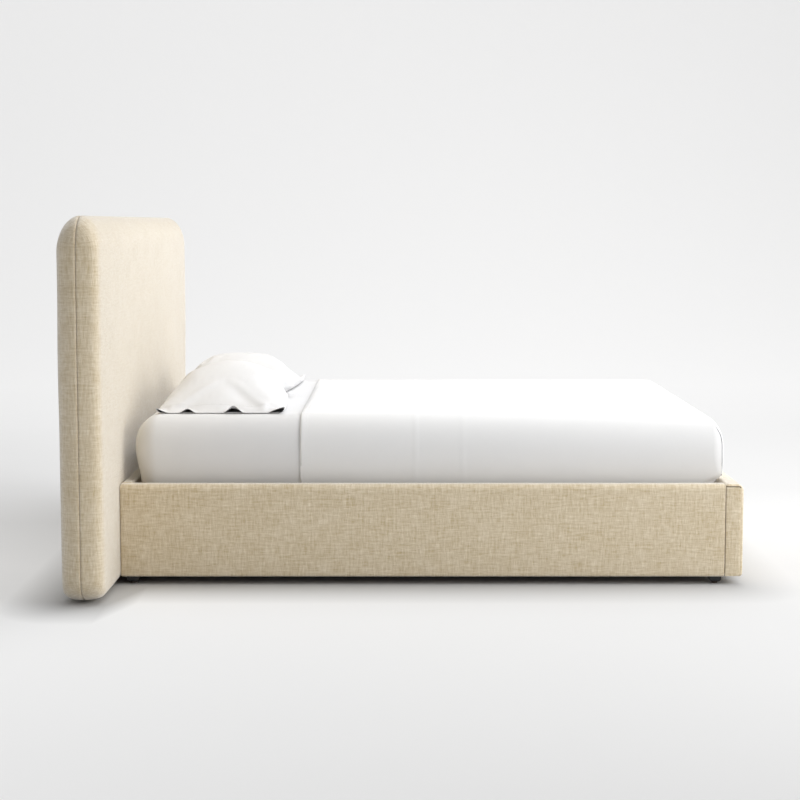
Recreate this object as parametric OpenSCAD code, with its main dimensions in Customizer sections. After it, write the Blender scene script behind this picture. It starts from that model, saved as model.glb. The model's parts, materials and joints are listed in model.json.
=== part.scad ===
// Upholstered platform bed with an extra-wide headboard, a mattress, bed linen and two pillows.
// The frame: +X from the headboard to the foot, +Y to the sleeper's left, +Z up, floor at z = 0.

/* [Headboard] */
// Width of the headboard across the bed
headboard_w = 2384; // [2340:2:2600]
// Height of the headboard above the floor
headboard_h = 1269; // [1100:1:1400]
// Thickness of the headboard over its padding
headboard_t = 147; // [147:1:170]
// Rounding of the padded edges at the top and the sides
headboard_edge_r = 60; // [40:1:60]
// Rounding of the padded edge at the bottom
headboard_low_edge_r = 55; // [30:1:58]
// Rounding of the upper corners seen from the front
headboard_corner_r = 120; // [80:5:140]

/* [Platform] */
// Width of the platform over its side rails
platform_w = 1652; // [1640:2:1680]
// Length of a side rail, from the headboard to the foot rail
side_rail_l = 2085; // [2080:1:2110]
// Thickness of a side rail over its padding
rail_t = 52; // [50:1:60]
// Thickness of the foot rail over its padding
foot_rail_t = 63; // [60:1:75]
// Thickness of the head rail over its cover
head_rail_t = 38; // [36:1:42]
// Height of the rails
rail_h = 322; // [310:1:330]
// Clear height under the rails
floor_gap = 28; // [28:1:34]

/* [Mattress and linen] */
// Length of the mattress
mattress_l = 2028; // [2000:1:2030]
// Width of the mattress
mattress_w = 1520; // [1500:1:1524]
// Height of the mattress
mattress_h = 289; // [250:1:300]
// Rounding of the mattress corners seen from above
mattress_corner_r = 75; // [60:1:90]
// Rounding of the mattress edges
mattress_edge_r = 90; // [60:1:100]
// Thickness of the quilted coverlet
coverlet_t = 8; // [5:0.5:9]
// Distance from the headboard to the top hem of the coverlet
coverlet_start = 618; // [560:1:800]
// Size of a filled pillow along the bed
pillow_l = 460; // [400:5:500]
// Size of a filled pillow across the bed
pillow_w = 700; // [640:5:715]
// Height of a filled pillow
pillow_h = 142; // [110:1:160]

/* [Slats and legs] */
// Number of slats
slat_count = 14; // [12:1:16]
// Width of a slat
slat_w = 70; // [60:1:76]
// Thickness of a slat
slat_t = 18; // [16:1:20]
// Number of screws in each slat ledger
ledger_screw_count = 8; // [5:1:10]
// Distance of the two centre legs from the middle of the beam
leg_spread = 400; // [250:10:600]

/* [Hidden] */
$fn = 48;
eps = 0.01;
through = 400;

// Colours
linen = [0.78, 0.73, 0.62];
pine = [0.83, 0.68, 0.47];
plywood = [0.76, 0.62, 0.43];
foam = [0.93, 0.90, 0.78];
zinc = [0.72, 0.73, 0.75];
black = [0.07, 0.07, 0.07];
felt = [0.25, 0.18, 0.14];
cotton = [0.96, 0.96, 0.95];

// Places along the bed
overall_l = headboard_t + side_rail_l + foot_rail_t;
x_back = -overall_l / 2;
x_front = x_back + headboard_t;
x_seam = x_back + headboard_t / 2;
x_rail_end = x_front + side_rail_l;
x_foot = x_rail_end + foot_rail_t;
x_head_rail_in = x_front + head_rail_t;

// Upholstery layers: a skin of fabric, a hair's gap, then foam
skin_t = 1.5;
skin_gap = 0.1;
foam_inset = skin_t + skin_gap;
seam_gap = 1;

// Headboard layers
headboard_lift = 8;
frame_t = 60;
panel_t = 9;
frame_edge = 45;
frame_low = 40;
timber_w = 70;
stud_y = 750;
frame_top = headboard_h - frame_edge;
frame_half_w = headboard_w / 2 - frame_edge;
low_corner_r = 60;
glide_r = 15;
nail_r = 1.5;
nail_top = 60;
glide_ys = [-1050, -350, 350, 1050];

// Rail sections, measured from the outer face inwards and from the rail's bottom upwards
board_in = rail_t - skin_t;
side_board_out = 14;
side_board_low = 12;
board_top_pad = 14;
side_section_r = [10, 3, 12, 22];
foot_section_r = [12, 3, 14, 24];
head_section_r = [3, 3, 8, 8];
foot_board_out = 25;
head_pad_t = 9;
tuck_h = 60;
foot_end_pad = 4;
rail_top = floor_gap + rail_h;
y_board_in = platform_w / 2 - board_in;
x_foot_board_in = x_foot - foot_rail_t + skin_t;

// Deck levels
post_w = 50;
deck_z = 268;
ledger_w = 30;
ledger_h = 40;
slat_top = deck_z + slat_t;
slat_half_l = y_board_in - 2.5;
slat_x_first = x_head_rail_in + slat_w / 2 + 1.5;
slat_x_last = x_foot_board_in - slat_w / 2 - 2;
slat_pitch = (slat_x_last - slat_x_first) / (slat_count - 1);
slat_screw_y = y_board_in - 15.5;
strap_t = 1.2;
strap_w = 25;
strap_y = 400;

// Frame bolts
bolt_r = 4;
bolt_hole_r = 4.5;
bolt_head_h = 5.3;
bolt_head_flats = 13;
washer_r = 8;
washer_t = 1.6;
insert_r = 6;
insert_l = 25;
insert_bore_r = 4.1;
bolt_grip = 22;
bolt_y = y_board_in - post_w / 2;
bolt_zs = [130, 220];

// Wood screws
screw_r = 2.25;
screw_head_r = 4.5;
screw_head_h = 3;

// Corner feet
foot_w = 41.5;
foot_chamfer = 7;
foot_low = 7;
foot_x_head = x_front + 39;
foot_x_foot = x_rail_end - 28;
foot_y = platform_w / 2 - 40;
corner_glide_r = 10.5;
spigot_r = 5;
spigot_h = 6;
foot_screw_r = 3;
foot_screw_top = 75;

// Centre beam, its hangers and legs
beam_w = 60;
beam_h = 70;
beam_z = deck_z - beam_h;
hanger_t = 2.5;
hanger_reach = 50;
beam_play = 0.5;
leg_w = 50;
leg_low = 26;
leg_xs = [-leg_spread + 50, leg_spread + 50];
dowel_below = 40;
dowel_above = 40;

// Levelling feet, M8
stem_r = 4;
running_gap = 0.05;
sleeve_h = 20;
flange_r = 11;
flange_t = 1.5;
stem_top = 78;
stem_well_top = 90;
stem_well_r = 4.6;
stem_foot_r = 6;
stem_foot_z = 6;
stem_foot_h = 3.5;
hub_r = 7.5;
hub_h = 8;
pad_r = 22;
pad_h = 12;
hub_play = 0.3;

// Mattress and linen
ticking_t = 1.5;
sheet_t = 1.2;
rest_gap = 0.3;
sheet_z = slat_top + strap_t + rest_gap;
mattress_z = sheet_z + sheet_t;
mattress_x = x_front + 46 + mattress_l / 2;
base_foam_h = 40;
spring_core_h = 190;
sheet_top = mattress_z + mattress_h + sheet_t;
sheet_hem = 150;
coverlet_low = rail_top - 30;
pillow_x = x_front + 335;
pillow_y = 372;
pillow_z = sheet_top + rest_gap;
pillow_corner_r = 80;
pillow_edge_r = 62;
case_t = 1.2;
hem_l = 38;
hem_t = 6;
hem_z = 45;

// Outline with four rounded corners: lower left, lower right, upper right, upper left
module rounded_outline(w, h, r) {
    polygon([
        [r[0], 0], [w - r[1], 0], [w, r[1]], [w, h - r[2]],
        [w - r[2], h], [r[3], h], [0, h - r[3]], [0, r[0]]
    ]);
    translate([r[0], r[0]]) circle(r[0]);
    translate([w - r[1], r[1]]) circle(r[1]);
    translate([w - r[2], h - r[2]]) circle(r[2]);
    translate([r[3], h - r[3]]) circle(r[3]);
}

// The same outline drawn in from every side by the distance d
module inset_outline(w, h, r, d) {
    translate([d, d]) rounded_outline(w - 2 * d, h - 2 * d, [for (corner = r) corner - d]);
}

// Box with its base centred on the origin, rounded in all three views
module soft_box(x, y, z, corner_r, edge_r) {
    corners = [corner_r, corner_r, corner_r, corner_r];
    edges = [edge_r, edge_r, edge_r, edge_r];
    intersection() {
        translate([-x / 2, -y / 2, 0]) linear_extrude(z) rounded_outline(x, y, corners);
        translate([-x / 2, y / 2, 0]) rotate([90, 0, 0]) linear_extrude(y) rounded_outline(x, z, edges);
        translate([-x / 2, -y / 2, 0]) rotate([90, 0, 90]) linear_extrude(x) rounded_outline(y, z, edges);
    }
}

// Copies on the left and the right of the bed
module both_sides() {
    children();
    mirror([0, 1, 0]) children();
}

module left_side() {
    mirror([0, 1, 0]) children();
}

// Block given by its lowest corner and its highest corner
module block(low, high) {
    translate(low) cube(high - low);
}

// Countersunk wood screw: its head's top face at the origin, its shank along -Z
module wood_screw(length, r = screw_r, head_r = screw_head_r) {
    translate([0, 0, -length]) cylinder(h = length, r = r);
    translate([0, 0, -screw_head_h]) cylinder(h = screw_head_h, r1 = r, r2 = head_r);
}

// Headboard
// ---------

// The padded outline of the headboard, drawn in by the distance d
module headboard_form(d) {
    h = headboard_h - headboard_lift;
    top_r = headboard_edge_r;
    low_r = headboard_low_edge_r;
    side_r = [low_r, low_r, top_r, top_r];
    plan_r = [top_r, top_r, top_r, top_r];
    front_r = [low_corner_r, low_corner_r, headboard_corner_r, headboard_corner_r];
    translate([x_back, -headboard_w / 2, headboard_lift]) intersection() {
        translate([0, headboard_w, 0]) rotate([90, 0, 0]) linear_extrude(headboard_w)
            inset_outline(headboard_t, h, side_r, d);
        linear_extrude(h) inset_outline(headboard_t, headboard_w, plan_r, d);
        rotate([90, 0, 90]) linear_extrude(headboard_t) inset_outline(headboard_w, h, front_r, d);
    }
}

// The part of the headboard's space between two planes across its thickness
module headboard_layer(x_from, x_to) {
    block([x_from, -headboard_w, -1], [x_to, headboard_w, headboard_h + 1]);
}

// Places of the four bolts that hold the platform to the headboard
module at_headboard_bolts() {
    for (side = [-1, 1], z = bolt_zs)
        translate([0, side * bolt_y, z]) children();
}

module headboard_bolt_holes() {
    at_headboard_bolts() translate([x_seam, 0, 0]) rotate([0, 90, 0]) cylinder(h = through, r = bolt_hole_r);
}

module at_headboard_glides() {
    for (y = glide_ys)
        translate([x_seam, y, 0]) children();
}

module nail_holes() {
    at_headboard_glides() cylinder(h = nail_top, r = nail_r + skin_gap);
}

module headboard_timber(y_from, y_to, z_from, z_to) {
    block([x_seam - frame_t / 2, y_from, z_from], [x_seam + frame_t / 2, y_to, z_to]);
}

module headboard_posts() {
    color(pine) both_sides()
        headboard_timber(frame_half_w - timber_w, frame_half_w, frame_low + timber_w, frame_top - timber_w);
}

module headboard_studs() {
    color(pine) difference() {
        for (y = [-stud_y, 0, stud_y])
            headboard_timber(y - timber_w / 2, y + timber_w / 2, frame_low + timber_w, frame_top - timber_w);
        at_headboard_bolts() translate([x_seam, 0, 0]) rotate([0, 90, 0]) cylinder(h = through, r = insert_r);
    }
}

module headboard_top_beam() {
    color(pine) headboard_timber(-frame_half_w, frame_half_w, frame_top - timber_w, frame_top);
}

module headboard_bottom_beam() {
    color(pine) difference() {
        headboard_timber(-frame_half_w, frame_half_w, frame_low, frame_low + timber_w);
        nail_holes();
    }
}

module headboard_panel(x_from) {
    block([x_from, -frame_half_w, frame_low], [x_from + panel_t, frame_half_w, frame_top]);
}

module headboard_front_panel() {
    color(plywood) difference() {
        headboard_panel(x_seam + frame_t / 2);
        headboard_bolt_holes();
    }
}

module headboard_rear_panel() {
    color(plywood) headboard_panel(x_seam - frame_t / 2 - panel_t);
}

module headboard_front_foam() {
    color(foam) difference() {
        intersection() {
            headboard_form(foam_inset);
            headboard_layer(x_seam + frame_t / 2 + panel_t, x_front + 1);
        }
        headboard_bolt_holes();
    }
}

module headboard_rear_foam() {
    color(foam) intersection() {
        headboard_form(foam_inset);
        headboard_layer(x_back - 1, x_seam - frame_t / 2 - panel_t);
    }
}

// Four strips of foam round the edge of the timber frame
module headboard_edge_foam() {
    half_stack = frame_t / 2 + panel_t;
    far = headboard_w;
    strip_gap = 0.5;
    color(foam) difference() {
        intersection() {
            headboard_form(foam_inset);
            union() {
                block([x_seam - half_stack, -far, frame_top], [x_seam + half_stack, far, headboard_h]);
                block([x_seam - half_stack, -far, 0], [x_seam + half_stack, far, frame_low]);
                both_sides() block(
                    [x_seam - half_stack, frame_half_w, frame_low + strip_gap],
                    [x_seam + half_stack, far, frame_top - strip_gap]
                );
            }
        }
        nail_holes();
    }
}

module headboard_skin() {
    difference() {
        headboard_form(0);
        headboard_form(skin_t);
        headboard_bolt_holes();
        nail_holes();
    }
}

module headboard_front_cover() {
    color(linen) intersection() {
        headboard_skin();
        headboard_layer(x_seam + seam_gap / 2, x_front + 1);
    }
}

module headboard_rear_cover() {
    color(linen) intersection() {
        headboard_skin();
        headboard_layer(x_back - 1, x_seam - seam_gap / 2);
    }
}

module headboard_glides() {
    color(black) at_headboard_glides() {
        cylinder(h = headboard_lift, r = glide_r);
        cylinder(h = nail_top, r = nail_r);
    }
}

// Upholstered rails
// -----------------

// Section of a rail's fabric: a sleeve that ends a short way down the inner face
module rail_cover_section(w, r) {
    difference() {
        rounded_outline(w, rail_h, r);
        inset_outline(w, rail_h, r, skin_t);
        translate([w - skin_t, -1]) square([skin_t + 1, rail_h - tuck_h + 1]);
    }
}

module rail_padding_section(w, r, board_out, board_low, top_pad) {
    difference() {
        inset_outline(w, rail_h, r, foam_inset);
        translate([board_out, board_low]) square([w, rail_h - board_low - top_pad]);
    }
}

// Runs a section along the right-hand side rail
module along_side_rail() {
    translate([x_front, -platform_w / 2, floor_gap]) rotate([90, 0, 90]) linear_extrude(side_rail_l) children();
}

module at_feet() {
    for (x = [foot_x_head, foot_x_foot], side = [-1, 1])
        translate([x, side * foot_y, 0]) children();
}

module foot_screw_holes() {
    at_feet() cylinder(h = foot_screw_top, r = foot_screw_r);
}

module at_ledger_screws(side) {
    span = x_foot_board_in - x_head_rail_in - 2 * post_w;
    for (i = [0 : ledger_screw_count - 1])
        translate([
            x_head_rail_in + post_w + span * (i + 0.5) / ledger_screw_count,
            side * (y_board_in - ledger_w),
            deck_z - ledger_h / 2
        ]) rotate([side * 90, 0, 0]) children();
}

module side_rail_board() {
    difference() {
        along_side_rail() translate([side_board_out, side_board_low])
            square([board_in - side_board_out, rail_h - side_board_low - board_top_pad]);
        foot_screw_holes();
        at_ledger_screws(-1) wood_screw(ledger_w + 25);
    }
}

module side_rail_padding() {
    difference() {
        along_side_rail() rail_padding_section(
            rail_t, side_section_r, side_board_out, side_board_low, board_top_pad
        );
        foot_screw_holes();
    }
}

module side_rail_cover() {
    difference() {
        along_side_rail() rail_cover_section(rail_t, side_section_r);
        foot_screw_holes();
    }
}

module side_rail_board_left() {
    color(plywood) left_side() side_rail_board();
}

module side_rail_board_right() {
    color(plywood) side_rail_board();
}

module side_rail_padding_left() {
    color(foam) left_side() side_rail_padding();
}

module side_rail_padding_right() {
    color(foam) side_rail_padding();
}

module side_rail_cover_left() {
    color(linen) left_side() side_rail_cover();
}

module side_rail_cover_right() {
    color(linen) side_rail_cover();
}

// Runs a section along the foot rail, stopping the distance d short of each end
module along_foot_rail(d) {
    length = platform_w - 2 * d;
    translate([x_foot, length / 2, floor_gap]) mirror([1, 0, 0]) rotate([90, 0, 0])
        linear_extrude(length) children();
}

module foot_rail_board() {
    color(plywood) difference() {
        along_foot_rail(foam_inset + foot_end_pad) translate([foot_board_out, side_board_low])
            square([foot_rail_t - skin_t - foot_board_out, rail_h - side_board_low - board_top_pad]);
        at_foot_rail_bolts() rotate([0, 90, 0]) cylinder(h = post_w + insert_l, r = insert_r);
        at_hangers() hanger_screw_set();
    }
}

module foot_rail_padding() {
    color(foam) along_foot_rail(foam_inset)
        rail_padding_section(foot_rail_t, foot_section_r, foot_board_out, side_board_low, board_top_pad);
}

// The foot rail's fabric also closes its two ends
module foot_rail_cover() {
    color(linen) difference() {
        along_foot_rail(0) rounded_outline(foot_rail_t, rail_h, foot_section_r);
        along_foot_rail(skin_t) inset_outline(foot_rail_t, rail_h, foot_section_r, skin_t);
        along_foot_rail(skin_t)
            translate([foot_rail_t - skin_t - eps, -1]) square([skin_t + 1, rail_h - tuck_h + 1]);
    }
}

module along_head_rail() {
    half_l = platform_w / 2 - rail_t;
    translate([x_head_rail_in, half_l, floor_gap]) mirror([1, 0, 0]) rotate([90, 0, 0])
        linear_extrude(2 * half_l) children();
}

module head_rail_holes() {
    at_headboard_bolts() translate([x_seam, 0, 0]) rotate([0, 90, 0]) cylinder(h = through, r = bolt_hole_r);
    at_hangers() hanger_screw_set();
}

module head_rail_board() {
    color(plywood) difference() {
        along_head_rail() intersection() {
            inset_outline(head_rail_t, rail_h, head_section_r, foam_inset);
            square([head_rail_t, rail_h - head_pad_t]);
        }
        head_rail_holes();
    }
}

module head_rail_padding() {
    color(foam) along_head_rail() intersection() {
        inset_outline(head_rail_t, rail_h, head_section_r, foam_inset);
        translate([0, rail_h - head_pad_t]) square([head_rail_t, head_pad_t]);
    }
}

module head_rail_cover() {
    color(linen) difference() {
        along_head_rail() difference() {
            rounded_outline(head_rail_t, rail_h, head_section_r);
            inset_outline(head_rail_t, rail_h, head_section_r, skin_t);
        }
        head_rail_holes();
    }
}

// Corner posts, bolts and feet
// ----------------------------

module at_foot_rail_bolts() {
    for (side = [-1, 1], z = bolt_zs)
        translate([x_foot_board_in - post_w, side * bolt_y, z]) children();
}

module corner_posts() {
    color(pine) difference() {
        for (x = [x_head_rail_in, x_foot_board_in - post_w])
            both_sides() block([x, y_board_in - post_w, floor_gap], [x + post_w, y_board_in, deck_z]);
        at_headboard_bolts() translate([x_front, 0, 0]) rotate([0, 90, 0]) cylinder(h = through, r = bolt_hole_r);
        at_foot_rail_bolts() rotate([0, 90, 0]) cylinder(h = post_w, r = bolt_hole_r);
        at_slat_screws() wood_screw(slat_t + 22);
    }
}

// Hexagon-head bolt: the head's underside at the origin, its shank along -X
module frame_bolt(length) {
    rotate([0, -90, 0]) cylinder(h = length, r = bolt_r);
    rotate([0, 90, 0]) cylinder(h = bolt_head_h, r = bolt_head_flats / 2 / cos(30), $fn = 6);
}

module headboard_bolts() {
    head_x = x_head_rail_in + post_w + washer_t;
    tip_x = x_seam + frame_t / 2 - bolt_grip;
    color(zinc) at_headboard_bolts() translate([head_x, 0, 0]) frame_bolt(head_x - tip_x);
}

module threaded_insert(length) {
    difference() {
        cylinder(h = length, r = insert_r);
        translate([0, 0, -1]) cylinder(h = length + 2, r = insert_bore_r);
    }
}

module headboard_inserts() {
    color(zinc) at_headboard_bolts() translate([x_seam + frame_t / 2 - insert_l, 0, 0]) rotate([0, 90, 0])
        threaded_insert(insert_l);
}

module foot_rail_bolts() {
    color(zinc) at_foot_rail_bolts() translate([-washer_t, 0, 0]) mirror([1, 0, 0])
        frame_bolt(washer_t + post_w + bolt_grip);
}

module foot_rail_inserts() {
    color(zinc) at_foot_rail_bolts() translate([post_w, 0, 0]) rotate([0, 90, 0]) threaded_insert(insert_l);
}

module washer() {
    rotate([0, 90, 0]) difference() {
        cylinder(h = washer_t, r = washer_r);
        translate([0, 0, -1]) cylinder(h = washer_t + 2, r = bolt_hole_r);
    }
}

module bolt_washers() {
    color(zinc) {
        at_headboard_bolts() translate([x_head_rail_in + post_w, 0, 0]) washer();
        at_foot_rail_bolts() translate([-washer_t, 0, 0]) washer();
    }
}

// Square outline of a foot seen from the side, with its lower corners cut off
module foot_outline() {
    half = foot_w / 2;
    polygon([
        [-half + foot_chamfer, foot_low], [half - foot_chamfer, foot_low], [half, foot_low + foot_chamfer],
        [half, floor_gap], [-half, floor_gap], [-half, foot_low + foot_chamfer]
    ]);
}

module corner_feet() {
    color(black) at_feet() difference() {
        intersection() {
            translate([0, foot_w / 2, 0]) rotate([90, 0, 0]) linear_extrude(foot_w) foot_outline();
            translate([-foot_w / 2, 0, 0]) rotate([90, 0, 90]) linear_extrude(foot_w) foot_outline();
        }
        translate([0, 0, foot_low - 1]) cylinder(h = spigot_h + 1, r = spigot_r + skin_gap);
        cylinder(h = floor_gap + 1, r = foot_screw_r);
        translate([0, 0, foot_low + spigot_h - eps])
            cylinder(h = screw_head_h, r1 = spigot_r, r2 = foot_screw_r);
    }
}

module corner_glides() {
    edge = 1.5;
    color(felt) at_feet() rotate_extrude() polygon([
        [0, 0], [corner_glide_r - edge, 0], [corner_glide_r, edge], [corner_glide_r, foot_low],
        [spigot_r, foot_low], [spigot_r, foot_low + spigot_h], [0, foot_low + spigot_h]
    ]);
}

module foot_screws() {
    head_z = foot_low + spigot_h;
    color(zinc) at_feet() translate([0, 0, head_z]) rotate([180, 0, 0])
        wood_screw(foot_screw_top - head_z, foot_screw_r - skin_gap, spigot_r - 2 * skin_gap);
}

// Slats
// -----

function slat_x(i) = slat_x_first + i * slat_pitch;

module at_slat_screws() {
    for (i = [0 : slat_count - 1], side = [-1, 1])
        translate([slat_x(i), side * slat_screw_y, slat_top]) children();
}

module slat_ledger(side) {
    x_low = x_head_rail_in + post_w;
    x_high = x_foot_board_in - post_w;
    y_far = side * y_board_in;
    y_near = side * (y_board_in - ledger_w);
    color(pine) difference() {
        block([x_low, min(y_near, y_far), deck_z - ledger_h], [x_high, max(y_near, y_far), deck_z]);
        at_slat_screws() wood_screw(slat_t + 22);
        at_ledger_screws(side) wood_screw(ledger_w + 25);
    }
}

module slat_ledger_left() {
    slat_ledger(1);
}

module slat_ledger_right() {
    slat_ledger(-1);
}

module ledger_screws() {
    color(zinc) for (side = [-1, 1])
        at_ledger_screws(side) wood_screw(ledger_w + 25);
}

module slats() {
    color(pine) difference() {
        for (i = [0 : slat_count - 1])
            block([slat_x(i) - slat_w / 2, -slat_half_l, deck_z], [slat_x(i) + slat_w / 2, slat_half_l, slat_top]);
        at_slat_screws() wood_screw(slat_t + 22);
    }
}

module slat_straps() {
    color(cotton) both_sides() block(
        [slat_x_first - slat_w / 2, strap_y - strap_w / 2, slat_top],
        [slat_x_last + slat_w / 2, strap_y + strap_w / 2, slat_top + strap_t]
    );
}

module slat_screws() {
    color(zinc) at_slat_screws() wood_screw(slat_t + 22);
}

// Centre beam and legs
// --------------------

module at_legs() {
    for (x = leg_xs)
        translate([x, 0, 0]) children();
}

module centre_beam() {
    play = hanger_t + beam_play;
    color(pine) difference() {
        block([x_head_rail_in + play, -beam_w / 2, beam_z], [x_foot_board_in - play, beam_w / 2, deck_z]);
        at_legs() translate([0, 0, beam_z - 1]) cylinder(h = dowel_above + 1, r = bolt_r);
    }
}

// Faces of the head rail and the foot rail that the hangers are screwed to
module at_hangers() {
    translate([x_head_rail_in, 0, 0]) children();
    translate([x_foot_board_in, 0, 0]) mirror([1, 0, 0]) children();
}

// A steel cradle under the end of the beam, standing off the face x = 0
module beam_hanger() {
    inner = beam_w / 2 + beam_play;
    outer = inner + hanger_t;
    plate_half_w = 55;
    low = beam_z - hanger_t;
    difference() {
        union() {
            block([0, -plate_half_w, low], [hanger_t, plate_half_w, deck_z - 10]);
            block([0, -outer, low], [hanger_reach, outer, deck_z - 15]);
        }
        block([hanger_t, -inner, beam_z], [hanger_reach + 1, inner, deck_z]);
        hanger_screw_set();
    }
}

module beam_hangers() {
    color(zinc) at_hangers() beam_hanger();
}

// The four screws of one hanger, driven towards -X
module hanger_screw_set() {
    for (y = [-45, 45], z = [beam_z + 8, beam_z + 48])
        translate([hanger_t, y, z]) rotate([0, 90, 0]) wood_screw(28, 2, 4);
}

module hanger_screws() {
    color(zinc) at_hangers() hanger_screw_set();
}

module centre_legs() {
    half = leg_w / 2;
    color(pine) at_legs() difference() {
        block([-half, -half, leg_low], [half, half, beam_z]);
        translate([0, 0, leg_low - 1]) cylinder(h = sleeve_h + 1, r = insert_r);
        cylinder(h = stem_well_top, r = stem_well_r);
        translate([0, 0, beam_z - dowel_below]) cylinder(h = dowel_below + 1, r = bolt_r);
    }
}

module leg_inserts() {
    color(zinc) at_legs() difference() {
        union() {
            translate([0, 0, leg_low]) cylinder(h = sleeve_h, r = insert_r);
            translate([0, 0, leg_low - flange_t]) cylinder(h = flange_t, r = flange_r);
        }
        cylinder(h = stem_well_top, r = stem_r + running_gap);
    }
}

module leg_dowel_bolts() {
    color(zinc) at_legs() translate([0, 0, beam_z - dowel_below])
        cylinder(h = dowel_below + dowel_above, r = bolt_r);
}

// Pad that stays still on the floor while its stem turns in it
module leveller_pad(i) {
    edge = 2;
    socket_r = stem_foot_r + running_gap;
    neck_r = stem_r + running_gap;
    socket_top = stem_foot_z + stem_foot_h + running_gap;
    color(black) translate([leg_xs[i], 0, 0]) rotate_extrude() polygon([
        [0, 0], [pad_r - edge, 0], [pad_r, edge], [pad_r, pad_h - 2 * edge], [pad_r - 2 * edge, pad_h],
        [neck_r, pad_h], [neck_r, socket_top], [socket_r, socket_top],
        [socket_r, stem_foot_z - running_gap], [0, stem_foot_z - running_gap]
    ]);
}

module leveller_pad_head() {
    leveller_pad(0);
}

module leveller_pad_foot() {
    leveller_pad(1);
}

module leveller_stem(i) {
    hub_top = leg_low - flange_t - hub_play;
    color(zinc) translate([leg_xs[i], 0, 0]) {
        translate([0, 0, stem_foot_z]) cylinder(h = stem_foot_h, r = stem_foot_r);
        translate([0, 0, stem_foot_z]) cylinder(h = stem_top - stem_foot_z, r = stem_r);
        translate([0, 0, hub_top - hub_h]) cylinder(h = hub_h, r = hub_r, $fn = 6);
    }
}

module leveller_stem_head() {
    leveller_stem(0);
}

module leveller_stem_foot() {
    leveller_stem(1);
}

// Mattress, linen and pillows
// ---------------------------

// The mattress drawn out by the distance d on every side
module mattress_form(d) {
    translate([mattress_x, 0, mattress_z - d]) soft_box(
        mattress_l + 2 * d, mattress_w + 2 * d, mattress_h + 2 * d,
        mattress_corner_r + d, mattress_edge_r + d
    );
}

// Everything between two levels
module level(z_from, z_to) {
    block([-overall_l, -platform_w, z_from], [overall_l, platform_w, z_to]);
}

module mattress_layer(z_from, z_to) {
    intersection() {
        mattress_form(-ticking_t - skin_gap);
        level(mattress_z + z_from, mattress_z + z_to);
    }
}

module mattress_base_foam() {
    color(foam) mattress_layer(0, base_foam_h);
}

module mattress_spring_core() {
    color(zinc) mattress_layer(base_foam_h, base_foam_h + spring_core_h);
}

module mattress_top_foam() {
    color(foam) mattress_layer(base_foam_h + spring_core_h, mattress_h);
}

module mattress_ticking() {
    color(cotton) difference() {
        mattress_form(0);
        mattress_form(-ticking_t);
    }
}

// The fitted sheet wraps a hem's width under the mattress and is open in the middle
module fitted_sheet() {
    color(cotton) difference() {
        mattress_form(sheet_t);
        mattress_form(0);
        translate([mattress_x, 0, sheet_z])
            cube([mattress_l - 2 * sheet_hem, mattress_w - 2 * sheet_hem, 20], center = true);
    }
}

// The coverlet lies over the mattress and is tucked in behind the rails
module coverlet() {
    hem_x = x_front + coverlet_start;
    color(cotton) intersection() {
        difference() {
            mattress_form(sheet_t + coverlet_t);
            mattress_form(sheet_t + skin_gap);
        }
        block([hem_x, -platform_w, coverlet_low], [x_foot, platform_w, headboard_h]);
    }
}

module pillow_form(d) {
    translate([pillow_x, -pillow_y, pillow_z + case_t - d]) soft_box(
        pillow_l + 2 * d, pillow_w + 2 * d, pillow_h + 2 * d, pillow_corner_r + d, pillow_edge_r + d
    );
}

module pillow() {
    pillow_form(-skin_gap);
}

// The case fits the pillow and ends in a flat hem at the edge of the bed
module pillowcase() {
    hem_half = pillow_l / 2 - pillow_corner_r / 2;
    y_end = -pillow_y - pillow_w / 2;
    difference() {
        union() {
            pillow_form(case_t);
            block(
                [pillow_x - hem_half, y_end - hem_l, pillow_z + hem_z],
                [pillow_x + hem_half, y_end + pillow_edge_r, pillow_z + hem_z + hem_t]
            );
        }
        pillow_form(0);
    }
}

module pillow_left() {
    color(cotton) left_side() pillow();
}

module pillow_right() {
    color(cotton) pillow();
}

module pillowcase_left() {
    color(cotton) left_side() pillowcase();
}

module pillowcase_right() {
    color(cotton) pillowcase();
}

headboard_posts();
headboard_studs();
headboard_top_beam();
headboard_bottom_beam();
headboard_front_panel();
headboard_rear_panel();
headboard_front_foam();
headboard_rear_foam();
headboard_edge_foam();
headboard_front_cover();
headboard_rear_cover();
headboard_glides();
side_rail_board_left();
side_rail_board_right();
side_rail_padding_left();
side_rail_padding_right();
side_rail_cover_left();
side_rail_cover_right();
foot_rail_board();
foot_rail_padding();
foot_rail_cover();
head_rail_board();
head_rail_padding();
head_rail_cover();
corner_posts();
headboard_bolts();
headboard_inserts();
foot_rail_bolts();
foot_rail_inserts();
bolt_washers();
corner_feet();
corner_glides();
foot_screws();
slat_ledger_left();
slat_ledger_right();
ledger_screws();
slats();
slat_straps();
slat_screws();
centre_beam();
beam_hangers();
hanger_screws();
centre_legs();
leg_inserts();
leg_dowel_bolts();
leveller_pad_head();
leveller_pad_foot();
leveller_stem_head();
leveller_stem_foot();
mattress_base_foam();
mattress_spring_core();
mattress_top_foam();
mattress_ticking();
fitted_sheet();
coverlet();
pillow_left();
pillow_right();
pillowcase_left();
pillowcase_right();
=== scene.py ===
"""An upholstered platform bed: padded headboard and rails, mattress, linen and pillows on a timber frame."""
import json
import math

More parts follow.
